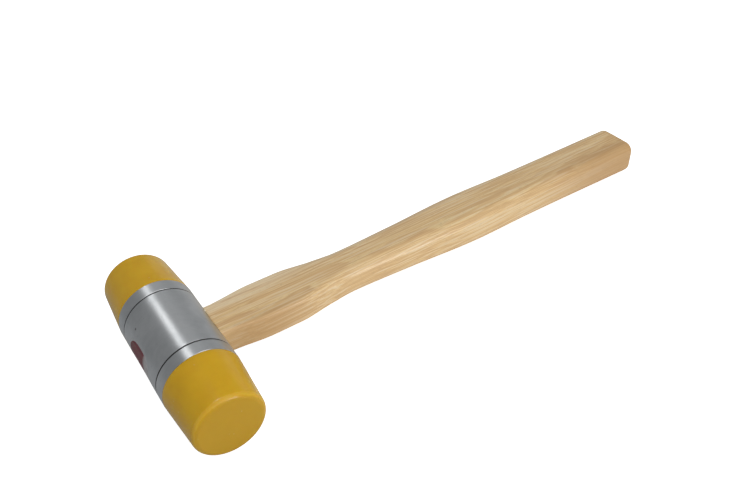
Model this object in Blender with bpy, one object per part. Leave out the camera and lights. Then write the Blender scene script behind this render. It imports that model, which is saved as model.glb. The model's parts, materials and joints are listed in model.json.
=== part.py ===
"""Dead blow mallet with a steel shot-filled head, two screw-on plastic tips and a wooden handle.

The mallet is drawn about the centre of its head: Y runs along the head, X along the handle to the
butt, and Z is up. It then lies on its side on the plane Z = 0, so that the head and the butt both
touch the plane, with the origin under the middle of its bounding box.
"""

import math

import bmesh
import bpy
import numpy as np
from mathutils import Matrix

MM = 0.001

# Head, measured from its centre along Y.
HEAD_RADIUS = 20.0 * MM
HOUSING_WALL = 4.0 * MM
JOINT_LINE = 21.1 * MM  # middle of the groove between the housing and an end cap
JOINT_WIDTH = 0.7 * MM
JOINT_DEPTH = 0.8 * MM
COLLAR_LENGTH = 7.3 * MM
TIP_LENGTH = 30.05 * MM
STEEL_CHAMFER = 0.2 * MM
MESH_GAP = 0.3 * MM  # kept between two pieces that touch

# End caps: a hollow spigot in the housing, a collar flush with it, and a threaded stud.
SPIGOT_TO_EYE = 2.2 * MM  # free space between the spigot's rim and the eye sleeve
SPIGOT_WALL = 2.0 * MM
CAP_FLOOR = 5.0 * MM
STUD_RADIUS = 6.0 * MM
STUD_LENGTH = 13.0 * MM
STUD_CHAMFER = 1.0 * MM

# Striking tips, conical towards the face, and the threaded bush moulded into each.
TIP_TAPER = 2.2 * MM  # how much smaller the cone's radius is at the face
TIP_EDGE_RADIUS = 3.0 * MM
BUSH_WALL = 2.7 * MM
BUSH_WAIST_DEPTH = 1.0 * MM
BUSH_FLANGE = 4.0 * MM
BUSH_RECESS = 0.3 * MM

# Eye: an oval sleeve through the housing that keeps the shot away from the wood. It widens
# towards the end where the wedge spreads the tenon, and its sides are fuller than an ellipse's.
EYE_FULLNESS = 2.8  # exponent of the oval: 2 is an ellipse, more is squarer
EYE_HALF_LENGTH = 12.0 * MM
EYE_WIDE_HALF = 9.2 * MM
EYE_NARROW_HALF = 7.9 * MM
EYE_WALL = 1.0 * MM
SEAL_DEPTH = 3.0 * MM  # from the housing's surface down to the sawn end of the wood
WEDGE_LENGTH = 20.0 * MM
WEDGE_THICK_END = 3.0 * MM
WEDGE_THIN_END = 0.8 * MM
WEDGE_SIDE_CLEARANCE = 0.7 * MM

# Handle. The slab at the head is a little larger than the tenon, and widens by SLAB_FLARE.
HANDLE_LENGTH = 302.0 * MM  # from the head's axis to the butt
SHOULDER_COVER = 0.2 * MM
SLAB_FLARE = 2.3 * MM
SLAB_CORNER = 2.0 * MM
SLAB_START = 25.0 * MM  # the flared stretch, from the head's surface
SLAB_END = 40.0 * MM
# Distance from the head's surface, half width, half thickness, corner radius.
GRIP_STATIONS = [
    (60.0 * MM, 12.8 * MM, 8.4 * MM, 5.4 * MM),
    (75.0 * MM, 11.6 * MM, 8.7 * MM, 6.2 * MM),
    (110.0 * MM, 12.8 * MM, 9.2 * MM, 6.5 * MM),
    (160.0 * MM, 14.9 * MM, 10.0 * MM, 6.5 * MM),
    (195.0 * MM, 14.2 * MM, 10.0 * MM, 6.5 * MM),
]
BUTT_HALF_WIDTH = 13.9 * MM
BUTT_HALF_THICKNESS = 10.2 * MM
BUTT_CORNER = 5.5 * MM
BUTT_EDGE_RADIUS = 2.6 * MM
TENON_OVERLAP = 3.0 * MM  # how far the tenon's prism runs into the slab behind the shoulder

# Shot: rows of balls from the bottom of a chamber up, one layer deep, five in the widest row.
SHOT_ROWS = (1, 4, 5, 4, 3)

# How finely round shapes are divided.
HEAD_SEGMENTS = 48
SMALL_SEGMENTS = 32
EYE_SEGMENTS = 40
CORNER_SEGMENTS = 4
EDGE_SEGMENTS = 5
RING_SPACING = 6.0 * MM
SMOOTH_ANGLE = math.radians(35)

# Values that follow from the ones above.
HOUSING_BORE = HEAD_RADIUS - HOUSING_WALL
HOUSING_END = JOINT_LINE - JOINT_WIDTH / 2
COLLAR_START = JOINT_LINE + JOINT_WIDTH / 2
STEEL_HALF_LENGTH = COLLAR_START + COLLAR_LENGTH
HEAD_HALF_LENGTH = STEEL_HALF_LENGTH + TIP_LENGTH
SPIGOT_RADIUS = HOUSING_BORE - MESH_GAP
CHAMBER_RADIUS = SPIGOT_RADIUS - SPIGOT_WALL
CHAMBER_END = STEEL_HALF_LENGTH - CAP_FLOOR
STUD_END = STEEL_HALF_LENGTH + STUD_LENGTH
TIP_BASE = STEEL_HALF_LENGTH + MESH_GAP
BUSH_START = TIP_BASE + BUSH_RECESS
BUSH_BORE = STUD_RADIUS + MESH_GAP
BUSH_RADIUS = BUSH_BORE + BUSH_WALL
TENON_DEPTH = HEAD_RADIUS - SEAL_DEPTH
EYE_OUTER_LENGTH = EYE_HALF_LENGTH + EYE_WALL
EYE_SPREAD = (EYE_WIDE_HALF - EYE_NARROW_HALF) / (2 * HEAD_RADIUS)
TENON_HALF_LENGTH = EYE_HALF_LENGTH - MESH_GAP
TENON_WIDE_HALF = EYE_WIDE_HALF - MESH_GAP
SHOULDER_HALF_WIDTH = TENON_HALF_LENGTH + SHOULDER_COVER
SLAB_HALF_WIDTH = SHOULDER_HALF_WIDTH + SLAB_FLARE
SLAB_HALF_THICKNESS = EYE_NARROW_HALF - MESH_GAP + SHOULDER_COVER
BEYOND = 2 * HEAD_RADIUS  # reaches clear of the head, for cutters
PAST_CUTTERS = 3 * HEAD_RADIUS  # reaches clear of what BEYOND reaches

# Five balls at a pitch p sit two rows above the lowest ball when their centres stay within a
# circle of radius 7 p / (2 sqrt 3), which is the chamber's less half a ball and the gap.
SHOT_PITCH = (CHAMBER_RADIUS - MESH_GAP / 2) / (0.5 + 7 / (2 * math.sqrt(3)))
SHOT_RADIUS = (SHOT_PITCH - MESH_GAP) / 2
SHOT_CIRCLE = CHAMBER_RADIUS - MESH_GAP - SHOT_RADIUS
SHOT_START = EYE_OUTER_LENGTH + MESH_GAP + SHOT_RADIUS

# Colour, roughness, metallic.
STEEL = ("turned_steel", (0.50, 0.52, 0.53), 0.32, 1.0)
TIP_PLASTIC = ("tip_plastic", (0.60, 0.34, 0.02), 0.38, 0.0)
HICKORY = ("hickory", (0.62, 0.42, 0.22), 0.50, 0.0)
WEDGE_WOOD = ("wedge_wood", (0.36, 0.22, 0.10), 0.60, 0.0)
SEAL_LACQUER = ("seal_lacquer", (0.13, 0.02, 0.02), 0.25, 0.0)
SHOT_STEEL = ("shot_steel", (0.30, 0.30, 0.31), 0.40, 1.0)


def clear_scene():
    """Removes every object that the file starts with."""
    for obj in list(bpy.data.objects):
        bpy.data.objects.remove(obj, do_unlink=True)


def material(finish):
    """Returns the Principled material of a finish, made once."""
    name, colour, roughness, metallic = finish
    found = bpy.data.materials.get(name)
    if found:
        return found
    made = bpy.data.materials.new(name)
    made.use_nodes = True
    shader = made.node_tree.nodes["Principled BSDF"]
    shader.inputs["Base Color"].default_value = (*colour, 1.0)
    shader.inputs["Roughness"].default_value = roughness
    shader.inputs["Metallic"].default_value = metallic
    return made


def add_object(name, bm, parent, finish=None):
    """Turns a bmesh into an object under parent, shaded smooth, with its faces pointing out."""
    bmesh.ops.recalc_face_normals(bm, faces=bm.faces)
    mesh = bpy.data.meshes.new(name)
    bm.to_mesh(mesh)
    bm.free()
    mesh.shade_smooth()
    mesh.set_sharp_from_angle(angle=SMOOTH_ANGLE)
    obj = bpy.data.objects.new(name, mesh)
    bpy.context.scene.collection.objects.link(obj)
    obj.parent = parent
    if finish:
        mesh.materials.append(material(finish))
    else:
        obj.hide_render = True
        obj.display_type = "WIRE"
    return obj


def combine(obj, operation, other):
    """Adds an exact Boolean of the other object to obj."""
    modifier = obj.modifiers.new(f"{operation.lower()}_{other.name}", "BOOLEAN")
    modifier.operation = operation
    modifier.solver = "EXACT"
    modifier.object = other


def bridge(bm, rings):
    """Joins consecutive rings of vertices with faces; a ring of one vertex is a point on the axis."""
    for first, second in zip(rings, rings[1:]):
        count = max(len(first), len(second))
        for i in range(count):
            j = (i + 1) % count
            corners = [first[i % len(first)], first[j % len(first)]]
            corners += [second[j % len(second)], second[i % len(second)]]
            bm.faces.new(list(dict.fromkeys(corners)))


def turned(name, profile, side, segments, parent, finish=None):
    """Turns (radius, distance along the head) points round the Y axis, towards side (-1 or 1) of it.

    A profile whose ends lie on the axis is closed there; any other profile is a closed loop.
    """
    bm = bmesh.new()
    rings = []
    for radius, distance in profile:
        count = segments if radius > 0 else 1
        ring = []
        for i in range(count):
            angle = 2 * math.pi * i / segments
            place = (radius * math.cos(angle), side * distance, radius * math.sin(angle))
            ring.append(bm.verts.new(place))
        rings.append(ring)
    if len(rings[0]) > 1:
        rings.append(rings[0])
    bridge(bm, rings)
    return add_object(name, bm, parent, finish)


def prism(name, outline_at, axis, start, end, parent, finish=None):
    """Joins the outlines at start and end along axis 0 (X) or 1 (Y) into a solid.

    outline_at gives the two other coordinates of its points, in X, Y, Z order, at a distance.
    """
    bm = bmesh.new()
    rings = []
    for distance in (start, end):
        ring = []
        for first, second in outline_at(distance):
            place = (distance, first, second) if axis == 0 else (first, distance, second)
            ring.append(bm.verts.new(place))
        bm.faces.new(ring)
        rings.append(ring)
    bridge(bm, rings)
    return add_object(name, bm, parent, finish)


def filled(value):
    """Bends a sine or cosine outwards, as the oval's fullness asks."""
    return math.copysign(abs(value) ** (2 / EYE_FULLNESS), value)


def eye(growth):
    """The eye's oval in Y and Z, grown all round, as a function of the distance along X."""

    def outline_at(x):
        middle = (EYE_WIDE_HALF + EYE_NARROW_HALF) / 2
        half_length = EYE_HALF_LENGTH + growth
        half_width = middle - EYE_SPREAD * x + growth
        angles = [2 * math.pi * i / EYE_SEGMENTS for i in range(EYE_SEGMENTS)]
        return [(half_length * filled(math.cos(a)), half_width * filled(math.sin(a))) for a in angles]

    return outline_at


def arc(radius, start, end, count):
    """Points of an arc about the head's axis in X and Z, from one angle to another."""
    angles = np.linspace(start, end, count)
    return [(radius * math.cos(a), radius * math.sin(a)) for a in angles]


def disc(radius):
    """A full circle about the head's axis in X and Z, the same at every distance."""
    points = arc(radius, 0, 2 * math.pi, HEAD_SEGMENTS + 1)[:-1]
    return lambda distance: points


def housing_sleeve(root):
    """The steel tube with a chamfer at each end and an eye through both walls."""
    profile = [
        (HOUSING_BORE, -HOUSING_END),
        (HEAD_RADIUS - STEEL_CHAMFER, -HOUSING_END),
        (HEAD_RADIUS, STEEL_CHAMFER - HOUSING_END),
        (HEAD_RADIUS, HOUSING_END - STEEL_CHAMFER),
        (HEAD_RADIUS - STEEL_CHAMFER, HOUSING_END),
        (HOUSING_BORE, HOUSING_END),
    ]
    sleeve = turned("housing_sleeve", profile, 1, HEAD_SEGMENTS, root, STEEL)
    way_in = prism("sleeve_way_in", eye(EYE_WALL + MESH_GAP), 0, -BEYOND, 0.0, root)
    combine(sleeve, "DIFFERENCE", way_in)
    combine(sleeve, "DIFFERENCE", prism("tenon_way_in", eye(0.0), 0, 0.0, BEYOND, root))
    return sleeve


def eye_sleeve(root):
    """The oval tube: flush with the housing at the wedged end, seated inside its wall at the other."""
    half_turn = HEAD_SEGMENTS // 2 + 1
    envelope = arc(HOUSING_BORE - MESH_GAP, -math.pi / 2, math.pi / 2, half_turn)
    envelope += arc(HEAD_RADIUS, math.pi / 2, 3 * math.pi / 2, half_turn)
    sleeve = prism("eye_sleeve", eye(EYE_WALL), 0, -BEYOND, BEYOND, root, STEEL)
    limits = prism("eye_envelope", lambda distance: envelope, 1, -BEYOND, BEYOND, root)
    combine(sleeve, "INTERSECT", limits)
    combine(sleeve, "DIFFERENCE", prism("eye_bore", eye(0.0), 0, -PAST_CUTTERS, PAST_CUTTERS, root))
    return sleeve


def end_cap(name, side, root):
    """One cap, turned from bar: chamber, spigot, groove step, collar and stud in one piece."""
    spigot_start = EYE_OUTER_LENGTH + SPIGOT_TO_EYE
    step = HOUSING_END + MESH_GAP
    profile = [
        (0.0, CHAMBER_END),
        (CHAMBER_RADIUS, CHAMBER_END),
        (CHAMBER_RADIUS, spigot_start),
        (SPIGOT_RADIUS, spigot_start),
        (SPIGOT_RADIUS, step),
        (HEAD_RADIUS - JOINT_DEPTH, step),
        (HEAD_RADIUS - JOINT_DEPTH, COLLAR_START),
        (HEAD_RADIUS - STEEL_CHAMFER, COLLAR_START),
        (HEAD_RADIUS, COLLAR_START + STEEL_CHAMFER),
        (HEAD_RADIUS, STEEL_HALF_LENGTH),
        (STUD_RADIUS, STEEL_HALF_LENGTH),
        (STUD_RADIUS, STUD_END - STUD_CHAMFER),
        (STUD_RADIUS - STUD_CHAMFER, STUD_END),
        (0.0, STUD_END),
    ]
    return turned(name, profile, side, HEAD_SEGMENTS, root, STEEL)


def bush_profile(clearance):
    """(radius, distance) points of the bush's waisted outside, grown by a clearance, base first."""
    end = STUD_END + MESH_GAP
    waist_start = BUSH_START + BUSH_FLANGE
    waist_end = end - BUSH_FLANGE
    outer = BUSH_RADIUS + clearance
    waist = outer - BUSH_WAIST_DEPTH
    return [
        (outer, BUSH_START - clearance),
        (outer, waist_start + clearance),
        (waist, waist_start + BUSH_WAIST_DEPTH + clearance),
        (waist, waist_end - BUSH_WAIST_DEPTH - clearance),
        (outer, waist_end - clearance),
        (outer, end + clearance),
    ]


def tip_bush(name, side, root):
    """The threaded bush in a tip, with a waist that keeps it from pulling out of the plastic."""
    outside = bush_profile(0.0)
    bore = [(BUSH_BORE, outside[-1][1]), (BUSH_BORE, outside[0][1])]
    return turned(name, outside + bore, side, SMALL_SEGMENTS, root, STEEL)


def striking_tip(name, side, root):
    """One plastic tip: a slight cone, a round striking edge, a flat face and the bush's seat."""
    lean = math.atan2(TIP_TAPER, TIP_LENGTH)
    edge_centre = HEAD_HALF_LENGTH - TIP_EDGE_RADIUS
    cone_there = HEAD_RADIUS - (edge_centre - STEEL_HALF_LENGTH) * math.tan(lean)
    edge_axis = cone_there - TIP_EDGE_RADIUS / math.cos(lean)
    profile = [(HEAD_RADIUS - MESH_GAP * math.tan(lean), TIP_BASE)]
    for angle in np.linspace(lean, math.pi / 2, EDGE_SEGMENTS + 1):
        radius = edge_axis + TIP_EDGE_RADIUS * math.cos(angle)
        profile.append((radius, edge_centre + TIP_EDGE_RADIUS * math.sin(angle)))
    seat = bush_profile(MESH_GAP)
    seat[0] = (seat[0][0], TIP_BASE)
    seat_floor = [(0.0, seat[-1][1])]
    profile = seat_floor + seat[::-1] + profile + [(0.0, HEAD_HALF_LENGTH)]
    return turned(name, profile, side, HEAD_SEGMENTS, root, TIP_PLASTIC)


def handle_stations():
    """Distance from the head's axis, half width, half thickness and corner radius, in order."""
    stations = [
        (HEAD_RADIUS / 2, SHOULDER_HALF_WIDTH, SLAB_HALF_THICKNESS, SLAB_CORNER),
        (HEAD_RADIUS, SHOULDER_HALF_WIDTH, SLAB_HALF_THICKNESS, SLAB_CORNER),
        (HEAD_RADIUS + SLAB_START, SLAB_HALF_WIDTH, SLAB_HALF_THICKNESS, SLAB_CORNER),
        (HEAD_RADIUS + SLAB_END, SLAB_HALF_WIDTH, SLAB_HALF_THICKNESS, SLAB_CORNER),
    ]
    for distance, half_width, half_thickness, corner in GRIP_STATIONS:
        stations.append((HEAD_RADIUS + distance, half_width, half_thickness, corner))
    stations.append((HANDLE_LENGTH, BUTT_HALF_WIDTH, BUTT_HALF_THICKNESS, BUTT_CORNER))
    return stations


def station_values(distances):
    """Half width, half thickness and corner radius at each distance, with no overshoot.

    Each column is a cubic through the stations whose slope there is the harmonic mean of the
    slopes on its two sides, or zero where they turn back.
    """
    stations = np.array(handle_stations())
    places = stations[:, 0]
    steps = np.diff(places)
    index = np.clip(np.searchsorted(places, distances, side="right") - 1, 0, len(steps) - 1)
    part = (distances - places[index]) / steps[index]
    columns = []
    for values in stations.T[1:]:
        chords = np.diff(values) / steps
        slopes = np.zeros(len(values))
        slopes[0] = chords[0]
        slopes[-1] = chords[-1]
        for i in range(1, len(values) - 1):
            if chords[i - 1] * chords[i] > 0:
                slopes[i] = 2 * chords[i - 1] * chords[i] / (chords[i - 1] + chords[i])
        start = values[index] * (1 + 2 * part) * (1 - part) ** 2
        start += slopes[index] * steps[index] * part * (1 - part) ** 2
        end = values[index + 1] * part**2 * (3 - 2 * part)
        end += slopes[index + 1] * steps[index] * part**2 * (part - 1)
        columns.append(start + end)
    return np.array(columns).T


def rounded_rectangle(half_width, half_thickness, corner):
    """Points in Y and Z of a rectangle with round corners."""
    points = []
    for quarter in range(4):
        middle = (quarter + 0.5) * math.pi / 2
        side_y = math.copysign(half_width - corner, math.cos(middle))
        side_z = math.copysign(half_thickness - corner, math.sin(middle))
        for i in range(CORNER_SEGMENTS + 1):
            angle = (quarter + i / CORNER_SEGMENTS) * math.pi / 2
            points.append((side_y + corner * math.cos(angle), side_z + corner * math.sin(angle)))
    return points


def handle(root):
    """The handle: slab, neck, grip and round-edged butt, with a saddle shoulder and a slit tenon."""
    start = handle_stations()[0][0]
    grip_end = HANDLE_LENGTH - BUTT_EDGE_RADIUS
    rings_needed = int(round((grip_end - start) / RING_SPACING)) + 1
    distances = np.linspace(start, grip_end, rings_needed)
    sections = [(x, 0.0) for x in distances]
    for angle in np.linspace(0, math.pi / 2, EDGE_SEGMENTS + 1)[1:]:
        inset = BUTT_EDGE_RADIUS * (1 - math.cos(angle))
        sections.append((grip_end + BUTT_EDGE_RADIUS * math.sin(angle), inset))
    bm = bmesh.new()
    rings = []
    values = station_values(np.array([x for x, _ in sections]))
    for (x, inset), (width, thickness, corner) in zip(sections, values):
        outline = rounded_rectangle(width - inset, thickness - inset, corner - inset)
        rings.append([bm.verts.new((x, y, z)) for y, z in outline])
    bridge(bm, rings)
    bm.faces.new(rings[0])
    bm.faces.new(rings[-1])
    wood = add_object("handle", bm, root, HICKORY)

    shoulder = prism("shoulder_cut", disc(HEAD_RADIUS + MESH_GAP), 1, -BEYOND, BEYOND, root)
    tenon = prism("tenon", eye(-MESH_GAP), 0, -TENON_DEPTH, HEAD_RADIUS + TENON_OVERLAP, root)
    combine(wood, "DIFFERENCE", shoulder)
    combine(wood, "UNION", tenon)
    combine(wood, "DIFFERENCE", wedge_solid("kerf", MESH_GAP, BEYOND, root))
    return wood


def wedge_solid(name, clearance, half_width, root, finish=None):
    """The wedge's tapered shape, grown by a clearance on both faces and past both ends."""
    slope = (WEDGE_THICK_END - WEDGE_THIN_END) / WEDGE_LENGTH / 2
    outline = []
    for x in (-TENON_DEPTH - clearance, WEDGE_LENGTH - TENON_DEPTH + clearance):
        outline.append((x, WEDGE_THICK_END / 2 - slope * (x + TENON_DEPTH) + clearance))
    outline += [(x, -z) for x, z in reversed(outline)]
    return prism(name, lambda distance: outline, 1, -half_width, half_width, root, finish)


def handle_wedge(root):
    """The wedge in the tenon's slit."""
    height = WEDGE_THICK_END / 2 / TENON_WIDE_HALF
    reach = TENON_HALF_LENGTH * (1 - height**EYE_FULLNESS) ** (1 / EYE_FULLNESS)
    half_width = reach - WEDGE_SIDE_CLEARANCE
    return wedge_solid("handle_wedge", 0.0, half_width, root, WEDGE_WOOD)


def eye_seal(root):
    """The lacquer that fills the eye over the tenon's end, flush with the housing."""
    outline = eye(-MESH_GAP)
    seal = prism("eye_seal", outline, 0, -BEYOND, -TENON_DEPTH - MESH_GAP, root, SEAL_LACQUER)
    combine(seal, "INTERSECT", prism("seal_face", disc(HEAD_RADIUS), 1, -BEYOND, BEYOND, root))
    return seal


def shot_charge(name, side, root):
    """The balls of one chamber, lying against the eye sleeve."""
    bm = bmesh.new()
    bmesh.ops.create_icosphere(bm, subdivisions=2, radius=SHOT_RADIUS)
    ball = add_object(f"{name}_01", bm, root, SHOT_STEEL)
    mesh = ball.data
    number = 0
    for row, count in enumerate(SHOT_ROWS):
        height = row * SHOT_PITCH * math.sqrt(3) / 2 - SHOT_CIRCLE
        for i in range(count):
            number += 1
            if number > 1:
                ball = bpy.data.objects.new(f"{name}_{number:02d}", mesh)
                bpy.context.scene.collection.objects.link(ball)
                ball.parent = root
            ball.location = ((i - (count - 1) / 2) * SHOT_PITCH, side * SHOT_START, height)


def lay_down(root, wood):
    """Tilts the mallet about its head until the butt touches the plane, and centres its box."""
    points = np.array([vertex.co for vertex in wood.data.vertices])
    behind = points[points[:, 0] > HANDLE_LENGTH / 2]
    below = behind[behind[:, 2] < 0]
    reach = np.hypot(below[:, 0], below[:, 2])
    tilts = np.arcsin(HEAD_RADIUS / reach) - np.arctan2(-below[:, 2], below[:, 0])
    tilt = float(tilts.min())
    butt = (behind[:, 0] * math.cos(tilt) + behind[:, 2] * math.sin(tilt)).max()
    centre = ((HEAD_RADIUS - butt) / 2, 0.0, HEAD_RADIUS)
    root.matrix_world = Matrix.Translation(centre) @ Matrix.Rotation(tilt, 4, "Y")


def main():
    clear_scene()
    root = bpy.data.objects.new("head_centre", None)
    bpy.context.scene.collection.objects.link(root)
    housing_sleeve(root)
    eye_sleeve(root)
    for end, side in (("front", -1), ("rear", 1)):
        end_cap(f"end_cap_{end}", side, root)
        tip_bush(f"tip_bush_{end}", side, root)
        striking_tip(f"striking_tip_{end}", side, root)
        shot_charge(f"shot_{end}", side, root)
    wood = handle(root)
    handle_wedge(root)
    eye_seal(root)
    lay_down(root, wood)
    bpy.context.view_layer.update()


main()
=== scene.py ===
"""Looks of a dead blow mallet: fine pieces, finishes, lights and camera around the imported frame."""

import json
import logging
import math
from dataclasses import dataclass, field
from enum import Enum
from typing import Callable, Iterable, Sequence

import bmesh
import bpy
import numpy as np
from mathutils import Matrix, Vector


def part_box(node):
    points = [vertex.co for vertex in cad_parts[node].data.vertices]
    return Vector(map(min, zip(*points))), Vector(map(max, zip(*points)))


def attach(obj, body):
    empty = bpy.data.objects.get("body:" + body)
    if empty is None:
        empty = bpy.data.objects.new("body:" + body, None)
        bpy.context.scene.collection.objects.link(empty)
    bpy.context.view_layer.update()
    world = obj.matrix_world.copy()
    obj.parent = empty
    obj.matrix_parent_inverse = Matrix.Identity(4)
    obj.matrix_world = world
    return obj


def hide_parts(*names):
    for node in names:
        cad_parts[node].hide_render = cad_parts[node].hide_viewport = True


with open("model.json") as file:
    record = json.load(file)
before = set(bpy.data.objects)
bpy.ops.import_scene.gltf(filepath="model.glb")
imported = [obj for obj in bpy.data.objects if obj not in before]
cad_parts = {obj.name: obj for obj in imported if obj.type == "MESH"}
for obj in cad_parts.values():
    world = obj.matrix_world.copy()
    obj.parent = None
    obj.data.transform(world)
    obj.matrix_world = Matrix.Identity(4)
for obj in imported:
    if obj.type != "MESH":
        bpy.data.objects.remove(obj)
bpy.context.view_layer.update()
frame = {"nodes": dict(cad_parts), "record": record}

MM = 0.001
WELD = 1e-7
GROOVE_WIDTH = 0.7 * MM
CONTACT_GAP = 0.3 * MM
OVAL_POINTS = 160
log = logging.getLogger("mallet")

Pair = tuple[float, float]
Point = tuple[float, float, float]
Colour = tuple[float, float, float]
Socket = bpy.types.NodeSocket
Sockets = bpy.types.bpy_prop_collection
Value = Socket | float | tuple


# ---------------------------------------------------------------------------------------------
# The mallet's own axes, read from the frame
# ---------------------------------------------------------------------------------------------


class End(Enum):
    """The two ends of the head, with their side along the head's axis."""

    FRONT = -1
    REAR = 1

    @property
    def word(self) -> str:
        """The end's name as the nodes and bodies spell it."""
        return self.name.lower()


@dataclass(frozen=True)
class MalletFrame:
    """The mallet's axes at rest: X along the handle, Y along the head, origin in the head's centre."""

    centre: Vector
    tilt: float
    head_radius: float
    housing_end: float
    collar_start: float
    steel_end: float
    stud_end: float
    face: float
    handle_length: float

    @classmethod
    def from_record(cls, record: dict) -> "MalletFrame":
        """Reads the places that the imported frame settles.

        Args:
            record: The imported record, whose mounts give the butt and the striking faces.

        Returns:
            The frame of the mallet as it lies at rest.
        """
        mounts = {mount["name"]: mount for mount in record["mounts"]}
        low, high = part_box("housing_sleeve")
        centre = (low + high) / 2
        out = Vector(mounts["butt_face"]["axis"]).normalized()
        butt = Vector(mounts["butt_face"]["pos_m"]) - centre
        cap_low, cap_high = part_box("end_cap_rear")
        tip_low, tip_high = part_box("striking_tip_rear")
        return cls(
            centre=centre,
            tilt=math.atan2(-out.z, out.x),
            head_radius=(cap_high.z - cap_low.z) / 2,
            housing_end=high.y,
            collar_start=high.y + GROOVE_WIDTH,
            steel_end=tip_low.y - CONTACT_GAP,
            stud_end=cap_high.y,
            face=tip_high.y,
            handle_length=butt.dot(out),
        )

    def set_round(self, piece: bpy.types.Object, side: int) -> None:
        """Places a piece turned about local Z, so that local Z runs along the head to that side.

        Args:
            piece: The finished object.
            side: -1 for the front of the head, 1 for its rear.
        """
        out = Vector((0, side, 0))
        up = Vector((0, 0, 1))
        turn = Matrix((up, out.cross(up), out)).transposed().to_4x4()
        piece.matrix_world = Matrix.Translation(self.centre) @ turn

    def set_tilted(self, piece: bpy.types.Object) -> None:
        """Places a piece made in the mallet's axes, turning its mesh and not the object."""
        piece.data.transform(Matrix.Rotation(self.tilt, 4, "Y"))
        piece.matrix_world = Matrix.Translation(self.centre)

    def set_tilted_round(self, piece: bpy.types.Object) -> None:
        """Places a piece made in the mallet's axes, with local Z along the head."""
        lying = Matrix(((0, 0, 1), (1, 0, 0), (0, 1, 0))).to_4x4()
        piece.data.transform(lying @ Matrix.Rotation(self.tilt, 4, "Y"))
        piece.matrix_world = Matrix.Translation(self.centre) @ lying.inverted()


# ---------------------------------------------------------------------------------------------
# Meshes
# ---------------------------------------------------------------------------------------------


class Skin:
    """Collects grids of points and welds them into one closed mesh."""

    def __init__(self) -> None:
        """Starts with no faces."""
        self.mesh = bmesh.new()

    def grid(self, rows: Sequence[Sequence[Point]], closed: bool = True) -> "Skin":
        """Joins rows of points with faces.

        Args:
            rows: Rows with the same number of points; a row of one point is a pole.
            closed: Whether each row runs round to its own start.

        Returns:
            The skin itself, so that calls can follow each other.
        """
        verts = [[self.mesh.verts.new(point) for point in row] for row in rows]
        for first, second in zip(verts, verts[1:]):
            count = max(len(first), len(second))
            for i in range(count if closed else count - 1):
                j = (i + 1) % count
                corners = [first[i % len(first)], first[j % len(first)]]
                corners += [second[j % len(second)], second[i % len(second)]]
                self.mesh.faces.new(list(dict.fromkeys(corners)))
        return self

    def finish(self, name: str, sharp: float = 40.0) -> bpy.types.Object:
        """Welds the skin and makes an object of it.

        Args:
            name: The piece's name.
            sharp: Edges that bend more than this, in degrees, stay sharp.

        Returns:
            The new object, in the scene.
        """
        bmesh.ops.remove_doubles(self.mesh, verts=self.mesh.verts, dist=WELD)
        bmesh.ops.dissolve_degenerate(self.mesh, edges=self.mesh.edges, dist=WELD)
        bmesh.ops.recalc_face_normals(self.mesh, faces=self.mesh.faces)
        data = bpy.data.meshes.new(name)
        self.mesh.to_mesh(data)
        self.mesh.free()
        data.shade_smooth()
        data.set_sharp_from_angle(angle=math.radians(sharp))
        made = bpy.data.objects.new(name, data)
        bpy.context.scene.collection.objects.link(made)
        return made


def arc_points(centre: Pair, radius: float, start: float, end: float, count: int) -> list[Pair]:
    """Points of an arc.

    Args:
        centre: Middle of the arc.
        radius: Its radius.
        start: First angle, in degrees from the first axis towards the second.
        end: Last angle, in degrees.
        count: How many steps it has.

    Returns:
        count + 1 pairs of numbers.
    """
    angles = np.radians(np.linspace(start, end, count + 1))
    return [(centre[0] + radius * math.cos(a), centre[1] + radius * math.sin(a)) for a in angles]


def rounded_rectangle(
    width: float, thick: float, corner: float, round_steps: int, flat_steps: int
) -> list[Pair]:
    """A rectangle with round corners.

    Args:
        width: Half of its size along the first axis.
        thick: Half of its size along the second.
        corner: Radius of its corners.
        round_steps: How many faces each corner has.
        flat_steps: How many faces each side has between two corners.

    Returns:
        Its points, from the middle of the first side round to the last corner.
    """
    middles = []
    for sign_y, sign_z in ((1, 1), (-1, 1), (-1, -1), (1, -1)):
        middles.append((sign_y * (width - corner), sign_z * (thick - corner)))
    points = []
    for quarter, middle in enumerate(middles):
        points += arc_points(middle, corner, 90 * quarter, 90 * quarter + 90, round_steps)
        following = middles[(quarter + 1) % 4]
        goal = arc_points(following, corner, 90 * quarter + 90, 90 * quarter + 90, 0)[0]
        start = points[-1]
        for i in range(1, flat_steps):
            t = i / flat_steps
            points.append((start[0] + (goal[0] - start[0]) * t, start[1] + (goal[1] - start[1]) * t))
    return points


def eased(profile: Sequence[Pair], radius: float, steps: int = 2) -> list[Pair]:
    """Rounds each inner corner of an open outline with a small fillet.

    Args:
        profile: Points of the outline, in order.
        radius: The fillet's setback along both sides of a corner.
        steps: How many faces each fillet has.

    Returns:
        The longer list of points.
    """
    points = [Vector(point) for point in profile]
    out = [tuple(points[0])]
    for before, corner, after in zip(points, points[1:], points[2:]):
        first = before - corner
        second = after - corner
        setback = min(radius, first.length * 0.45, second.length * 0.45)
        start = corner + first.normalized() * setback
        stop = corner + second.normalized() * setback
        for i in range(steps + 1):
            t = i / steps
            bend = start * (1 - t) ** 2 + corner * 2 * t * (1 - t) + stop * t**2
            out.append(tuple(bend))
    out.append(tuple(points[-1]))
    return out


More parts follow.
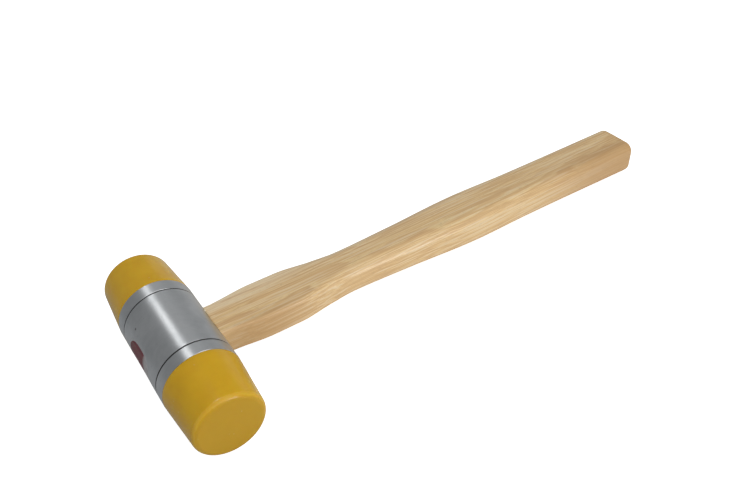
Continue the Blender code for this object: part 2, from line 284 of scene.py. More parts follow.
def turned(
    name: str,
    profile: Sequence[Pair],
    segments: int,
    swell: Callable[[float, float, float], float] | None = None,
) -> bpy.types.Object:
    """Turns an outline round the local Z axis.

    Args:
        name: The piece's name.
        profile: (radius, height) points; ends on the axis close there, and others join in a loop.
        segments: Faces round the axis.
        swell: Adds to the radius at (radius, height, angle), for a thread.

    Returns:
        The new object.
    """
    rows = []
    for radius, height in profile:
        if radius <= 0:
            rows.append([(0.0, 0.0, height)])
            continue
        row = []
        for i in range(segments):
            angle = 2 * math.pi * i / segments
            wide = radius + (swell(radius, height, angle) if swell else 0.0)
            row.append((wide * math.cos(angle), wide * math.sin(angle), height))
        rows.append(row)
    if len(rows[0]) > 1:
        rows.append(rows[0])
    return Skin().grid(rows).finish(name)


def finely(start: float, end: float, step: float) -> list[float]:
    """Evenly spaced numbers from start to end, no further apart than step.

    Args:
        start: The first number.
        end: The last number.
        step: The widest gap allowed.

    Returns:
        The numbers in order.
    """
    count = max(1, math.ceil(abs(end - start) / step))
    return list(np.linspace(start, end, count + 1))


def evenly_round(count: int) -> list[float]:
    """Evenly spaced angles round a full turn, in radians."""
    return [2 * math.pi * i / count for i in range(count)]


@dataclass(frozen=True)
class Thread:
    """A screw thread between two heights, running out at both ends."""

    start: float
    stop: float
    depth: float
    run_out: float
    pitch: float = 1.75 * MM
    flank: float = 1.35
    flat: float = 0.1

    def rise(self, height: float, angle: float) -> float:
        """How far the thread stands out from its root.

        Args:
            height: Height along the screw.
            angle: Angle round it, in radians.

        Returns:
            A length of 0 to the thread's depth.
        """
        phase = (height / self.pitch - angle / (2 * math.pi)) % 1.0
        ridge = min(1.0, max(0.0, self.flank * (1 - abs(2 * phase - 1)) - self.flat))
        run = min(height - self.start, self.stop - height) / (self.run_out * self.pitch)
        return self.depth * ridge * min(1.0, max(0.0, run))


def store_rim(piece: bpy.types.Object, values: Sequence[float]) -> None:
    """Stores one number for each point as the attribute "rim", which the finishes read.

    Args:
        piece: The object whose mesh gets the attribute.
        values: A number of 0 to 1 for each point, in order.
    """
    attribute = piece.data.attributes.new("rim", "FLOAT", "POINT")
    attribute.data.foreach_set("value", np.array(values, np.float32))


def mark_rims(piece: bpy.types.Object, bend: float = 25.0) -> None:
    """Marks the points on a hard edge, and their neighbours by half.

    Args:
        piece: The object whose mesh gets the point attribute "rim".
        bend: How much an edge turns, in degrees, to count as hard.
    """
    work = bmesh.new()
    work.from_mesh(piece.data)
    work.verts.ensure_lookup_table()
    values = np.zeros(len(work.verts))
    for edge in work.edges:
        if len(edge.link_faces) == 2 and edge.calc_face_angle(0.0) > math.radians(bend):
            for vert in edge.verts:
                values[vert.index] = 1.0
    spread = values.copy()
    for edge in work.edges:
        a, b = edge.verts[0].index, edge.verts[1].index
        spread[a] = max(spread[a], 0.5 * values[b])
        spread[b] = max(spread[b], 0.5 * values[a])
    work.free()
    store_rim(piece, spread)


def adopt(
    piece: bpy.types.Object,
    body: str,
    slot: str,
    nodes: Iterable[str],
    material: bpy.types.Material,
) -> None:
    """Dresses a piece and gives it its place in the assembly.

    Args:
        piece: The finished object, in place.
        body: The body that it moves with.
        slot: The record's material slot that it belongs to.
        nodes: The plain solids that it stands for.
        material: What it is made of.
    """
    piece.data.materials.clear()
    piece.data.materials.append(material)
    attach(piece, body)
    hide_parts(*nodes)
    log.info("%s rides on %s in %s, %d faces", piece.name, body, slot, len(piece.data.polygons))


# ---------------------------------------------------------------------------------------------
# Shader nodes
# ---------------------------------------------------------------------------------------------


class Graph:
    """Short ways to add the nodes that the finishes and their shared groups are made of."""

    def __init__(self, tree: bpy.types.NodeTree) -> None:
        """Works on one node tree."""
        self.tree = tree

    def put(self, socket: Socket, value: Value) -> None:
        """Links a socket to an output, or sets its value.

        Args:
            socket: The input to feed.
            value: An output, a number, or a vector or colour as a tuple.
        """
        if isinstance(value, bpy.types.NodeSocket):
            self.tree.links.new(value, socket)
        elif isinstance(value, tuple) and socket.type == "RGBA" and len(value) == 3:
            socket.default_value = (*value, 1.0)
        else:
            socket.default_value = value

    def node(self, kind: str, settings: dict | None = None, inputs: dict | None = None) -> bpy.types.Node:
        """Adds a node.

        Args:
            kind: Its type's name.
            settings: Properties to set before its inputs.
            inputs: Values or outputs for its inputs, by name or number.

        Returns:
            The node.
        """
        made = self.tree.nodes.new(kind)
        for key, value in (settings or {}).items():
            setattr(made, key, value)
        for key, value in (inputs or {}).items():
            self.put(made.inputs[key], value)
        return made

    def math(self, operation: str, *values: Value, clamp: bool = False) -> Socket:
        """One Math node's output."""
        settings = {"operation": operation, "use_clamp": clamp}
        return self.node("ShaderNodeMath", settings, dict(enumerate(values))).outputs[0]

    def plus(self, first: Value, second: Value) -> Socket:
        """The sum of two numbers."""
        return self.math("ADD", first, second)

    def minus(self, first: Value, second: Value) -> Socket:
        """The first number less the second."""
        return self.math("SUBTRACT", first, second)

    def times(self, first: Value, second: Value) -> Socket:
        """The product of two numbers."""
        return self.math("MULTIPLY", first, second)

    def over(self, first: Value, second: Value) -> Socket:
        """The first number divided by the second."""
        return self.math("DIVIDE", first, second)

    def flipped(self, mask: Value) -> Socket:
        """A mask with 0 and 1 changed over."""
        return self.minus(1.0, mask)

    def swing(self, mask: Value, width: Value) -> Socket:
        """A mask turned into a distance to either side of 0, this wide in all."""
        return self.times(self.minus(mask, 0.5), width)

    def across(self, first: Value, second: Value) -> Socket:
        """The distance from an axis, from its two parts."""
        return self.math("SQRT", self.plus(self.times(first, first), self.times(second, second)))

    def vector_math(self, operation: str, first: Value, second: Value) -> Socket:
        """One Vector Math node's output."""
        return self.node("ShaderNodeVectorMath", {"operation": operation}, {0: first, 1: second}).outputs[0]

    def scaled(self, vector: Value, scale: Point) -> Socket:
        """The vector with each of its parts multiplied."""
        return self.vector_math("MULTIPLY", vector, scale)

    def parts(self, vector: Value) -> Sockets:
        """The three parts of a vector."""
        return self.node("ShaderNodeSeparateXYZ", inputs={0: vector}).outputs

    def vector(self, x: Value, y: Value, z: Value) -> Socket:
        """A vector from its parts."""
        return self.node("ShaderNodeCombineXYZ", inputs={0: x, 1: y, 2: z}).outputs[0]

    def noise(self, vector: Value, scale: Value, detail: float = 3.0, rough: float = 0.5) -> Socket:
        """A noise texture's value, from 0 to 1."""
        inputs = {"Vector": vector, "Scale": scale, "Detail": detail, "Roughness": rough}
        return self.node("ShaderNodeTexNoise", inputs=inputs).outputs["Fac"]

    def drawn_out(
        self, vector: Value, share: float, scale: float, detail: float, rough: float = 0.5
    ) -> Socket:
        """A noise texture's value, drawn out along X to scale times share."""
        return self.noise(self.scaled(vector, (share, 1.0, 1.0)), scale, detail, rough)

    def noise_along(self, distance: Value, scale: float, detail: float, rough: float = 0.5) -> Socket:
        """A one-dimensional noise texture's value, from 0 to 1."""
        inputs = {"W": distance, "Scale": scale, "Detail": detail, "Roughness": rough}
        return self.node("ShaderNodeTexNoise", {"noise_dimensions": "1D"}, inputs).outputs["Fac"]

    def between(self, value: Value, low: Value, high: Value, smooth: bool = True) -> Socket:
        """0 below low, 1 above high, and a smooth or straight rise between them.

        Args:
            value: What is read.
            low: Where the rise starts.
            high: Where it is complete; it may be below low.
            smooth: Whether the rise is eased.

        Returns:
            A mask.
        """
        settings = {"interpolation_type": "SMOOTHSTEP" if smooth else "LINEAR"}
        inputs = {0: value, 1: low, 2: high, 3: 0.0, 4: 1.0}
        return self.node("ShaderNodeMapRange", settings, inputs).outputs[0]

    def blend(self, factor: Value, first: Value, second: Value) -> Socket:
        """A mix of two colours."""
        settings = {"data_type": "RGBA", "clamp_factor": True}
        return self.node("ShaderNodeMix", settings, {0: factor, 6: first, 7: second}).outputs[2]

    def laid_on(self, base: Value, colour: Colour, mask: Value, share: float) -> Socket:
        """A colour laid on another through a mask, at a share of its strength."""
        return self.blend(self.times(mask, share), base, colour)

    def level(self, factor: Value, first: Value, second: Value) -> Socket:
        """A mix of two numbers."""
        inputs = {0: factor, 2: first, 3: second}
        return self.node("ShaderNodeMix", {"data_type": "FLOAT"}, inputs).outputs[0]

    def bump(self, height: Value, distance: float, strength: float, normal: Socket | None = None) -> Socket:
        """Adds a relief to the surface's normal.

        Args:
            height: The relief, from 0 to 1.
            distance: How deep it is, in metres.
            strength: How much of it shows.
            normal: The relief that it lies on.

        Returns:
            The normal.
        """
        inputs = {"Height": height, "Distance": distance, "Strength": strength}
        if normal is not None:
            inputs["Normal"] = normal
        return self.node("ShaderNodeBump", inputs=inputs).outputs[0]

    def place(self) -> Socket:
        """Coordinates in the piece's own axes, in metres."""
        return self.node("ShaderNodeTexCoord").outputs["Object"]

    def rim(self) -> Socket:
        """How near a worn edge the point is, as the mesh carries it."""
        return self.node("ShaderNodeAttribute", {"attribute_name": "rim"}).outputs["Fac"]

    def effect(self, group: bpy.types.NodeTree, **inputs: Value) -> Sockets:
        """Adds a shared effect.

        Args:
            group: The effect's node group.
            inputs: Its inputs by name.

        Returns:
            The outputs, by name.
        """
        made = self.node("ShaderNodeGroup", {"node_tree": group})
        for key, value in inputs.items():
            self.put(made.inputs[key], value)
        return made.outputs


class Effects:
    """The shader groups that several finishes share, each made once."""

    def __init__(self) -> None:
        """Starts with none made."""
        self.made: dict[str, bpy.types.NodeTree] = {}

    def group(
        self, name: str, inputs: dict, outputs: Sequence[str], fill: Callable
    ) -> bpy.types.NodeTree:
        """Returns a node group, making it at its first use.

        Args:
            name: The group's name.
            inputs: Input name to its first value: a number, a vector, or None for a vector without one.
            outputs: Names of the outputs, which are all numbers.
            fill: Takes the graph and the input sockets, and returns the outputs by name.

        Returns:
            The node group.
        """
        if name in self.made:
            return self.made[name]
        tree = bpy.data.node_groups.new(name, "ShaderNodeTree")
        for label, value in inputs.items():
            kind = "NodeSocketFloat" if isinstance(value, float) else "NodeSocketVector"
            made = tree.interface.new_socket(label, in_out="INPUT", socket_type=kind)
            if value is not None:
                made.default_value = value
        for label in outputs:
            tree.interface.new_socket(label, in_out="OUTPUT", socket_type="NodeSocketFloat")
        graph = Graph(tree)
        entry = graph.node("NodeGroupInput")
        way_out = graph.node("NodeGroupOutput")
        for label, value in fill(graph, entry.outputs).items():
            graph.put(way_out.inputs[label], value)
        self.made[name] = tree
        return tree

    def turning_marks(self) -> bpy.types.NodeTree:
        """Rings left by a lathe tool round the local Z axis, on sides and on faces alike."""

        def fill(graph: Graph, given: Sockets) -> dict[str, Socket]:
            """Noise along the cut gives the rings, and soft patches vary their tone.

            Args:
                graph: Adds nodes to the group.
                given: The group's inputs.

            Returns:
                The group's outputs by name.
            """
            x, y, z = graph.parts(given["Position"])
            turns = graph.over(graph.plus(z, graph.across(x, y)), given["Pitch"])
            fine = graph.noise_along(turns, 1.0, 2.0, 0.6)
            wide = graph.noise_along(turns, 0.28, 2.0, 0.6)
            patch = graph.noise(graph.scaled(given["Position"], (1.0, 1.0, 0.25)), 90.0, 2.0)
            tone = graph.level(0.65, fine, wide)
            return {"Height": fine, "Tone": graph.math("ADD", tone, graph.swing(patch, 0.3), clamp=True)}

        return self.group("turning_marks", {"Position": None, "Pitch": 0.12 * MM}, ("Height", "Tone"), fill)

    def nicks(self) -> bpy.types.NodeTree:
        """Small dents scattered over a surface."""

        def fill(graph: Graph, given: Sockets) -> dict[str, Socket]:
            """Picks a few cells of a bent cell pattern, and keeps their middles.

            Args:
                graph: Adds nodes to the group.
                given: The group's inputs.

            Returns:
                The group's outputs by name.
            """
            warp = graph.noise(given["Position"], graph.over(0.7, given["Size"]), 2.0)
            shift = graph.scaled(graph.vector(warp, warp, warp), (MM, MM, MM))
            bent = graph.vector_math("ADD", given["Position"], shift)
            inputs = {"Vector": bent, "Scale": graph.over(0.25, given["Size"])}
            cells = graph.node("ShaderNodeTexVoronoi", inputs=inputs).outputs
            chosen = graph.math("LESS_THAN", graph.parts(cells["Color"])[0], given["Amount"])
            return {"Mask": graph.times(graph.between(cells["Distance"], 0.34, 0.10), chosen)}

        return self.group("nicks", {"Position": None, "Size": 0.5 * MM, "Amount": 0.1}, ("Mask",), fill)

    def blotches(self) -> bpy.types.NodeTree:
        """Soft patches of tone in two sizes."""

        def fill(graph: Graph, given: Sockets) -> dict[str, Socket]:
            """Mixes large and small patches and stretches their contrast.

            Args:
                graph: Adds nodes to the group.
                given: The group's inputs.

            Returns:
                The group's outputs by name.
            """
            large = graph.noise(given["Position"], graph.over(1.0, given["Size"]), 2.0)
            small = graph.noise(given["Position"], graph.over(4.3, given["Size"]), 3.0)
            return {"Tone": graph.between(graph.level(0.35, large, small), 0.3, 0.7, smooth=False)}

        return self.group("blotches", {"Position": None, "Size": 20 * MM}, ("Tone",), fill)

    def edge_wear(self) -> bpy.types.NodeTree:
        """Turns the rim value that the mesh carries along its edges into a patchy mask."""

        def fill(graph: Graph, given: Sockets) -> dict[str, Socket]:
            """Lets the wear reach further where a patchy noise is high.

            Args:
                graph: Adds nodes to the group.
                given: The group's inputs.

            Returns:
                The group's outputs by name.
            """
            patchy = graph.noise(given["Position"], graph.over(1.0, given["Patch"]), 4.0, 0.65)
            reach = graph.times(given["Rim"], graph.plus(patchy, 0.35))
            return {"Mask": graph.between(reach, 0.35, 0.75)}

        return self.group("edge_wear", {"Position": None, "Rim": 0.0, "Patch": 2 * MM}, ("Mask",), fill)

    def wood_grain(self) -> bpy.types.NodeTree:
        """Growth rings cut along local X, with open pores and fine fibres."""

        def fill(graph: Graph, given: Sockets) -> dict[str, Socket]:
            """Counts wavy rings outwards from the heart, and draws fibres along them.

            Args:
                graph: Adds nodes to the group.
                given: The group's inputs.

            Returns:
                The group's outputs by name.
            """
            place = given["Position"]
            ring = given["Ring"]
            x, y, z = graph.parts(place)
            heart = graph.parts(given["Heart"])
            lean = graph.parts(given["Lean"])
            off_y = graph.minus(y, graph.plus(heart[1], graph.times(lean[1], x)))
            off_z = graph.minus(z, graph.plus(heart[2], graph.times(lean[2], x)))
            radius = graph.across(off_y, off_z)
            bend = graph.swing(graph.drawn_out(place, 0.16, 95.0, 2.0), given["Wander"])
            jag = graph.swing(graph.drawn_out(place, 0.22, 420.0, 2.0), graph.times(ring, 0.35))
            uneven = graph.swing(graph.noise_along(radius, 330.0, 1.0), graph.times(ring, 3.0))
            warped = graph.plus(graph.plus(radius, bend), graph.plus(jag, uneven))
            turns = graph.over(warped, ring)
            phase = graph.math("FRACT", turns)
            year = graph.noise_along(graph.times(graph.math("FLOOR", turns), 7.31), 1.0, 0.0)
            early = graph.times(graph.between(phase, 0.0, 0.08), graph.between(phase, 0.48, 0.18))
            pore = graph.drawn_out(place, 0.055, 5200.0, 1.0)
            return {
                "Late": graph.times(graph.between(phase, 0.45, 0.86), graph.between(phase, 1.0, 0.92)),
                "Early": early,
                "Year": year,
                "Fibre": graph.drawn_out(place, 0.03, 3800.0, 3.0, 0.6),
                "Strand": graph.drawn_out(place, 0.012, 1100.0, 2.0, 0.55),
                "Pores": graph.times(graph.between(pore, 0.60, 0.68), early),
            }

        inputs = {
            "Position": None,
            "Ring": 1.6 * MM,
            "Heart": (0.0, 0.0, -0.03),
            "Lean": (0.0, 0.0, 0.0),
            "Wander": 4 * MM,
        }
        return self.group("wood_grain", inputs, ("Late", "Early", "Year", "Fibre", "Strand", "Pores"), fill)


EFFECTS = Effects()
MATERIALS: dict[str, bpy.types.Material] = {}


# ---------------------------------------------------------------------------------------------
# Finishes
# ---------------------------------------------------------------------------------------------


class Finish:
    """What a piece is made of. Each finish makes its material once."""

    name = "finish"

    def material(self) -> bpy.types.Material:
        """Makes the finish's material at its first use.

        Returns:
            The material.
        """
        if self.name not in MATERIALS:
            made = bpy.data.materials.new(self.name)
            made.use_nodes = True
            shader = made.node_tree.nodes["Principled BSDF"]
            self.wire(Graph(made.node_tree), shader)
            MATERIALS[self.name] = made
        return MATERIALS[self.name]

    def wire(self, graph: Graph, shader: bpy.types.Node) -> None:
        """Adds the finish's nodes in front of the shader.

        Args:
            graph: Adds nodes to the material.
            shader: The material's main shader.
        """
        raise NotImplementedError


@dataclass(frozen=True)
class TurnedSteel(Finish):
    """Bright steel straight from the lathe, with fine rings, dull patches, worn rims, and painted shade in
    its grooves and dents.
    """

    name: str = "lathe_bright_steel"
    bright: Colour = (0.70, 0.71, 0.72)
    dull: Colour = (0.475, 0.495, 0.505)
    worn: Colour = (0.80, 0.80, 0.80)
    # Painted shade in the grooves: its colour, roughness, and how deep and far it reaches.
    groove_shade: Colour = (0.03, 0.028, 0.026)
    pitch: float = 0.16 * MM
    depth: float = 0.010 * MM
    patch_size: float = 14 * MM
    patch_share: float = 0.45
    wear_patch: float = 1.6 * MM
    wear_share: float = 0.25
    dent_size: float = 0.45 * MM
    dent_depth: float = 0.05 * MM
    dent_amount: float = 0.03
    roughness: Pair = (0.34, 0.42)
    ring_roughness: float = 0.05
    groove_shade_roughness: float = 0.8
    anisotropy: float = 0.92
    quarter_turn: float = 0.25
    outside: float = 0.0
    last_joint: float = 0.0
    groove_shade_depth: Pair = (0.04 * MM, 0.22 * MM)
    groove_shade_reach: float = 0.02 * MM

    def wire(self, graph: Graph, shader: bpy.types.Node) -> None:
        """Adds the finish's nodes in front of the shader.

        Args:
            graph: Adds nodes to the material.
            shader: The material's main shader.
        """
        place = graph.place()
        marks = graph.effect(EFFECTS.turning_marks(), Position=place, Pitch=self.pitch)
        patches = graph.effect(EFFECTS.blotches(), Position=place, Size=self.patch_size)["Tone"]
        sizes = {"Size": self.dent_size, "Amount": self.dent_amount}
        dents = graph.effect(EFFECTS.nicks(), Position=place, **sizes)["Mask"]
        worn = {"Rim": graph.rim(), "Patch": self.wear_patch}
        wear = graph.effect(EFFECTS.edge_wear(), Position=place, **worn)["Mask"]
        tone = graph.level(self.patch_share, marks["Tone"], patches)
        base = graph.blend(tone, self.dull, self.bright)
        base = graph.laid_on(base, self.worn, wear, self.wear_share)
        # Painted shade: the dents are laid on in the dull colour.
        base = graph.laid_on(base, self.dull, dents, 0.5)
        rough = graph.level(patches, self.roughness[1], self.roughness[0])
        rough = graph.plus(rough, graph.times(marks["Tone"], self.ring_roughness))
        shader.inputs["Metallic"].default_value = 1.0
        # Painted shade: the grooves are made near-black, rough and not metallic.
        if self.outside:
            in_groove_shade = self.groove_shade_mask(graph, place)
            base = graph.blend(in_groove_shade, base, self.groove_shade)
            rough = graph.level(in_groove_shade, rough, self.groove_shade_roughness)
            graph.put(shader.inputs["Metallic"], graph.flipped(in_groove_shade))
        graph.put(shader.inputs["Base Color"], base)
        graph.put(shader.inputs["Roughness"], rough)
        shader.inputs["Anisotropic"].default_value = self.anisotropy
        shader.inputs["Anisotropic Rotation"].default_value = self.quarter_turn
        rings = graph.bump(marks["Height"], self.depth, 0.6)
        graph.put(shader.inputs["Normal"], graph.bump(graph.flipped(dents), self.dent_depth, 0.5, rings))

    def groove_shade_mask(self, graph: Graph, place: Socket) -> Socket:
        """Painted shade: near-black in the grooves between the housing and the caps.

        Args:
            graph: Adds nodes to the material.
            place: Where the point is.

        Returns:
            A mask that is 1 in the grooves.
        """
        x, y, z = graph.parts(place)
        start, full = self.groove_shade_depth
        sunk = graph.between(graph.across(x, y), self.outside - start, self.outside - full)
        near = graph.math("LESS_THAN", graph.math("ABSOLUTE", z), self.last_joint + self.groove_shade_reach)
        return graph.times(sunk, near)


@dataclass(frozen=True)
class TipPlastic(Finish):
    """Waxy yellow plastic, a little translucent, with a moulded skin, scuffs and nicks; the nicks carry
    painted glints, and the striking face painted shade.
    """

    name: str = "waxy_tip_plastic"
    clean: Colour = (0.75, 0.445, 0.016)
    deep: Colour = (0.68, 0.38, 0.012)
    scuff_and_glint: Colour = (0.80, 0.60, 0.20)
    face_shade: Colour = (0.57, 0.33, 0.024)
    face: float = 0.0
    face_edge: Pair = (1.0 * MM, 0.1 * MM)
    face_shade_share: float = 0.75
    patch_size: float = 16 * MM
    mould_pitch: float = 0.5 * MM
    mould_depth: float = 0.006 * MM
    skin_depth: float = 0.02 * MM
    wear_patch: float = 3 * MM
    wear_share: float = 0.10
    dent_size: float = 0.42 * MM
    dent_depth: float = 0.08 * MM
    dent_amount: float = 0.022
    dent_glint_share: float = 0.55
    roughness: Pair = (0.17, 0.26)
    glow_depth: float = 2.5 * MM

    def wire(self, graph: Graph, shader: bpy.types.Node) -> None:
        """Adds the finish's nodes in front of the shader.

        Args:
            graph: Adds nodes to the material.
            shader: The material's main shader.
        """
        place = graph.place()
        clouds = graph.effect(EFFECTS.blotches(), Position=place, Size=self.patch_size)["Tone"]
        marks = graph.effect(EFFECTS.turning_marks(), Position=place, Pitch=self.mould_pitch)
        sizes = {"Size": self.dent_size, "Amount": self.dent_amount}
        dents = graph.effect(EFFECTS.nicks(), Position=place, **sizes)["Mask"]
        worn = {"Rim": graph.rim(), "Patch": self.wear_patch}
        wear = graph.effect(EFFECTS.edge_wear(), Position=place, **worn)["Mask"]
        # Painted shade: the striking face is laid on darker than the sides.
        start, full = self.face_edge
        shaded_face = graph.between(graph.parts(place)[2], self.face - start, self.face - full)
        base = graph.blend(clouds, self.deep, self.clean)
        base = graph.laid_on(base, self.face_shade, shaded_face, self.face_shade_share)
        base = graph.laid_on(base, self.scuff_and_glint, wear, self.wear_share)
        # Partly scuffs and partly a painted glint: the nicks are laid on in the lighter scuff colour.
        base = graph.laid_on(base, self.scuff_and_glint, dents, self.dent_glint_share)
        graph.put(shader.inputs["Base Color"], base)
        rough = graph.level(clouds, self.roughness[1], self.roughness[0])
        graph.put(shader.inputs["Roughness"], graph.plus(rough, graph.times(wear, 0.1)))
        shader.inputs["Subsurface Weight"].default_value = 0.25
        shader.inputs["Subsurface Radius"].default_value = (1.0, 0.55, 0.12)
        shader.inputs["Subsurface Scale"].default_value = self.glow_depth
        shader.inputs["IOR"].default_value = 1.5
        shader.inputs["Specular IOR Level"].default_value = 0.3
        soft = graph.bump(graph.noise(place, 900.0, 3.0), self.skin_depth, 0.5)
        lathe = graph.bump(marks["Height"], self.mould_depth, 0.6, soft)
        graph.put(shader.inputs["Normal"], graph.bump(graph.flipped(dents), self.dent_depth, 0.6, lathe))


@dataclass(frozen=True)
class Hickory(Finish):
    """Sanded hickory under a thin clear coat, with a painted sheen along the far side, painted shade along
    the near side and darker end grain.
    """

    name: str = "sanded_hickory"
    pale: Colour = (0.89, 0.655, 0.325)
    tan: Colour = (0.77, 0.485, 0.22)
    late_wood: Colour = (0.62, 0.37, 0.165)
    pale_streak_and_sheen: Colour = (0.95, 0.82, 0.60)
    shade_and_end_grain_tone: Colour = (0.54, 0.315, 0.13)
    pore: Colour = (0.36, 0.23, 0.12)
    ring: float = 0.85 * MM
    heart: Point = (0.0, -0.010, -0.015)
    lean: Point = (0.0, 0.006, -0.030)
    wander: float = 4.5 * MM
    patch_size: float = 9 * MM
    coat: Pair = (0.12, 0.55)
    coat_roughness: float = 0.26
    oiled: Pair = (38 * MM, 64 * MM)
    worn_butt: Pair = (296 * MM, 268 * MM)
    # The painted sheen along the far side: its ragged edge, its place across and along, and its strength.
    sheen_ragged: float = 4 * MM
    sheen_edge: Pair = (2 * MM, 14 * MM)
    sheen_fade: Pair = (230 * MM, 15 * MM)
    sheen_share: float = 0.52
    # Painted shade along the near edge, by the head and over the butt; then the end grain's darker tone.
    slab_shade_edge: Pair = (-6 * MM, -13 * MM)
    slab_shade_fade: Pair = (76 * MM, 44 * MM)
    slab_shade_share: float = 0.55
    butt_edge: Pair = (3 * MM, -11 * MM)
    butt_shade_fade: Pair = (205 * MM, 285 * MM)
    butt_shade_share: float = 0.75
    end_grain: Pair = (298 * MM, 302 * MM)
    end_share: float = 0.8
    pore_depth: float = 0.04 * MM
    fibre_depth: float = 0.012 * MM

    def wire(self, graph: Graph, shader: bpy.types.Node) -> None:
        """Adds the finish's nodes in front of the shader.

        Args:
            graph: Adds nodes to the material.
            shader: The material's main shader.
        """
        place = graph.place()
        x, y, _ = graph.parts(place)
        sizes = {"Ring": self.ring, "Heart": self.heart, "Lean": self.lean, "Wander": self.wander}
        grain = graph.effect(EFFECTS.wood_grain(), Position=place, **sizes)
        long_place = graph.scaled(place, (0.12, 1.0, 1.0))
        clouds = graph.effect(EFFECTS.blotches(), Position=long_place, Size=self.patch_size)["Tone"]
        strand = grain["Strand"]
        year = graph.between(grain["Year"], 0.35, 0.65, smooth=False)
        late = graph.times(grain["Late"], graph.plus(graph.times(year, 0.32), 0.24))
        base = graph.blend(graph.times(clouds, 0.45), self.tan, self.pale)
        base = graph.laid_on(base, self.pale, graph.between(strand, 0.42, 0.60), 0.50)
        base = graph.blend(late, base, self.late_wood)
        base = graph.laid_on(base, self.pale, grain["Early"], 0.80)
        # Painted sheen: paler along the far side near the head.
        base = graph.laid_on(base, self.pale_streak_and_sheen, self.far_side_sheen(graph, x, y, clouds), self.sheen_share)
        base = graph.laid_on(base, self.late_wood, graph.between(strand, 0.48, 0.38), 0.42)
        base = graph.laid_on(base, self.pale_streak_and_sheen, graph.between(strand, 0.53, 0.62), 0.35)
        # Painted shade along the near edge, with the darker end grain at the butt's end.
        base = graph.blend(self.shade_and_end_grain(graph, x, y), base, self.shade_and_end_grain_tone)
        base = graph.laid_on(base, self.late_wood, graph.between(grain["Fibre"], 0.46, 0.72), 0.18)
        base = graph.laid_on(base, self.pore, grain["Pores"], 0.42)
        graph.put(shader.inputs["Base Color"], base)
        graph.put(shader.inputs["Roughness"], graph.level(grain["Fibre"], 0.42, 0.58))
        oiled = graph.times(graph.between(x, *self.oiled), graph.between(x, *self.worn_butt))
        graph.put(shader.inputs["Coat Weight"], graph.level(oiled, *self.coat))
        shader.inputs["Coat Roughness"].default_value = self.coat_roughness
        fine = graph.bump(grain["Fibre"], self.fibre_depth, 0.5)
        deep = graph.bump(graph.flipped(grain["Pores"]), self.pore_depth, 0.6, fine)
        graph.put(shader.inputs["Normal"], deep)

    def far_side_sheen(self, graph: Graph, x: Socket, y: Socket, clouds: Socket) -> Socket:
        """A painted sheen: paler along the far edge near the head, fading towards the butt.

        Args:
            graph: Adds nodes to the material.
            x: Distance along the handle.
            y: Distance across it, to the far side.
            clouds: Soft patches that make its edge ragged.

        Returns:
            A mask.
        """
        ragged = graph.plus(y, graph.times(clouds, self.sheen_ragged))
        fade = graph.between(x, *self.sheen_fade, smooth=False)
        return graph.times(graph.between(ragged, *self.sheen_edge), fade)

    def shade_and_end_grain(self, graph: Graph, x: Socket, y: Socket) -> Socket:
        """Painted shade along the near edge, by the head and over the butt, and darker end grain at the
        butt's end.

        Args:
            graph: Adds nodes to the material.
            x: Distance along the handle.
            y: Distance across it, to the far side.

        Returns:
            A mask, with its strength in it.
        """
        # Painted shade: by the head, and along the near side over the butt; the end grain is its own darker
        # tone.
        slab = graph.times(graph.between(y, *self.slab_shade_edge), graph.between(x, *self.slab_shade_fade))
        butt = graph.times(graph.between(y, *self.butt_edge), graph.between(x, *self.butt_shade_fade))
        end = graph.times(graph.between(x, *self.end_grain), self.end_share)
        slab = graph.times(slab, self.slab_shade_share)
        butt = graph.times(butt, self.butt_shade_share)
        return graph.math("MAXIMUM", graph.math("MAXIMUM", slab, butt), end)


@dataclass(frozen=True)
class WedgeWood(Finish):
    """Plain darker wood, sawn and left rough."""

    name: str = "sawn_wedge_wood"
    light: Colour = (0.40, 0.25, 0.12)
    dark: Colour = (0.24, 0.14, 0.06)
    ring: float = 0.9 * MM
    saw_depth: float = 0.03 * MM

    def wire(self, graph: Graph, shader: bpy.types.Node) -> None:
        """Adds the finish's nodes in front of the shader.

        Args:
            graph: Adds nodes to the material.
            shader: The material's main shader.
        """
        grain = graph.effect(EFFECTS.wood_grain(), Position=graph.place(), Ring=self.ring)
        base = graph.blend(grain["Late"], self.light, self.dark)
        graph.put(shader.inputs["Base Color"], graph.laid_on(base, self.dark, grain["Pores"], 0.6))
        graph.put(shader.inputs["Roughness"], graph.level(grain["Fibre"], 0.6, 0.8))
        graph.put(shader.inputs["Normal"], graph.bump(grain["Fibre"], self.saw_depth, 0.8))


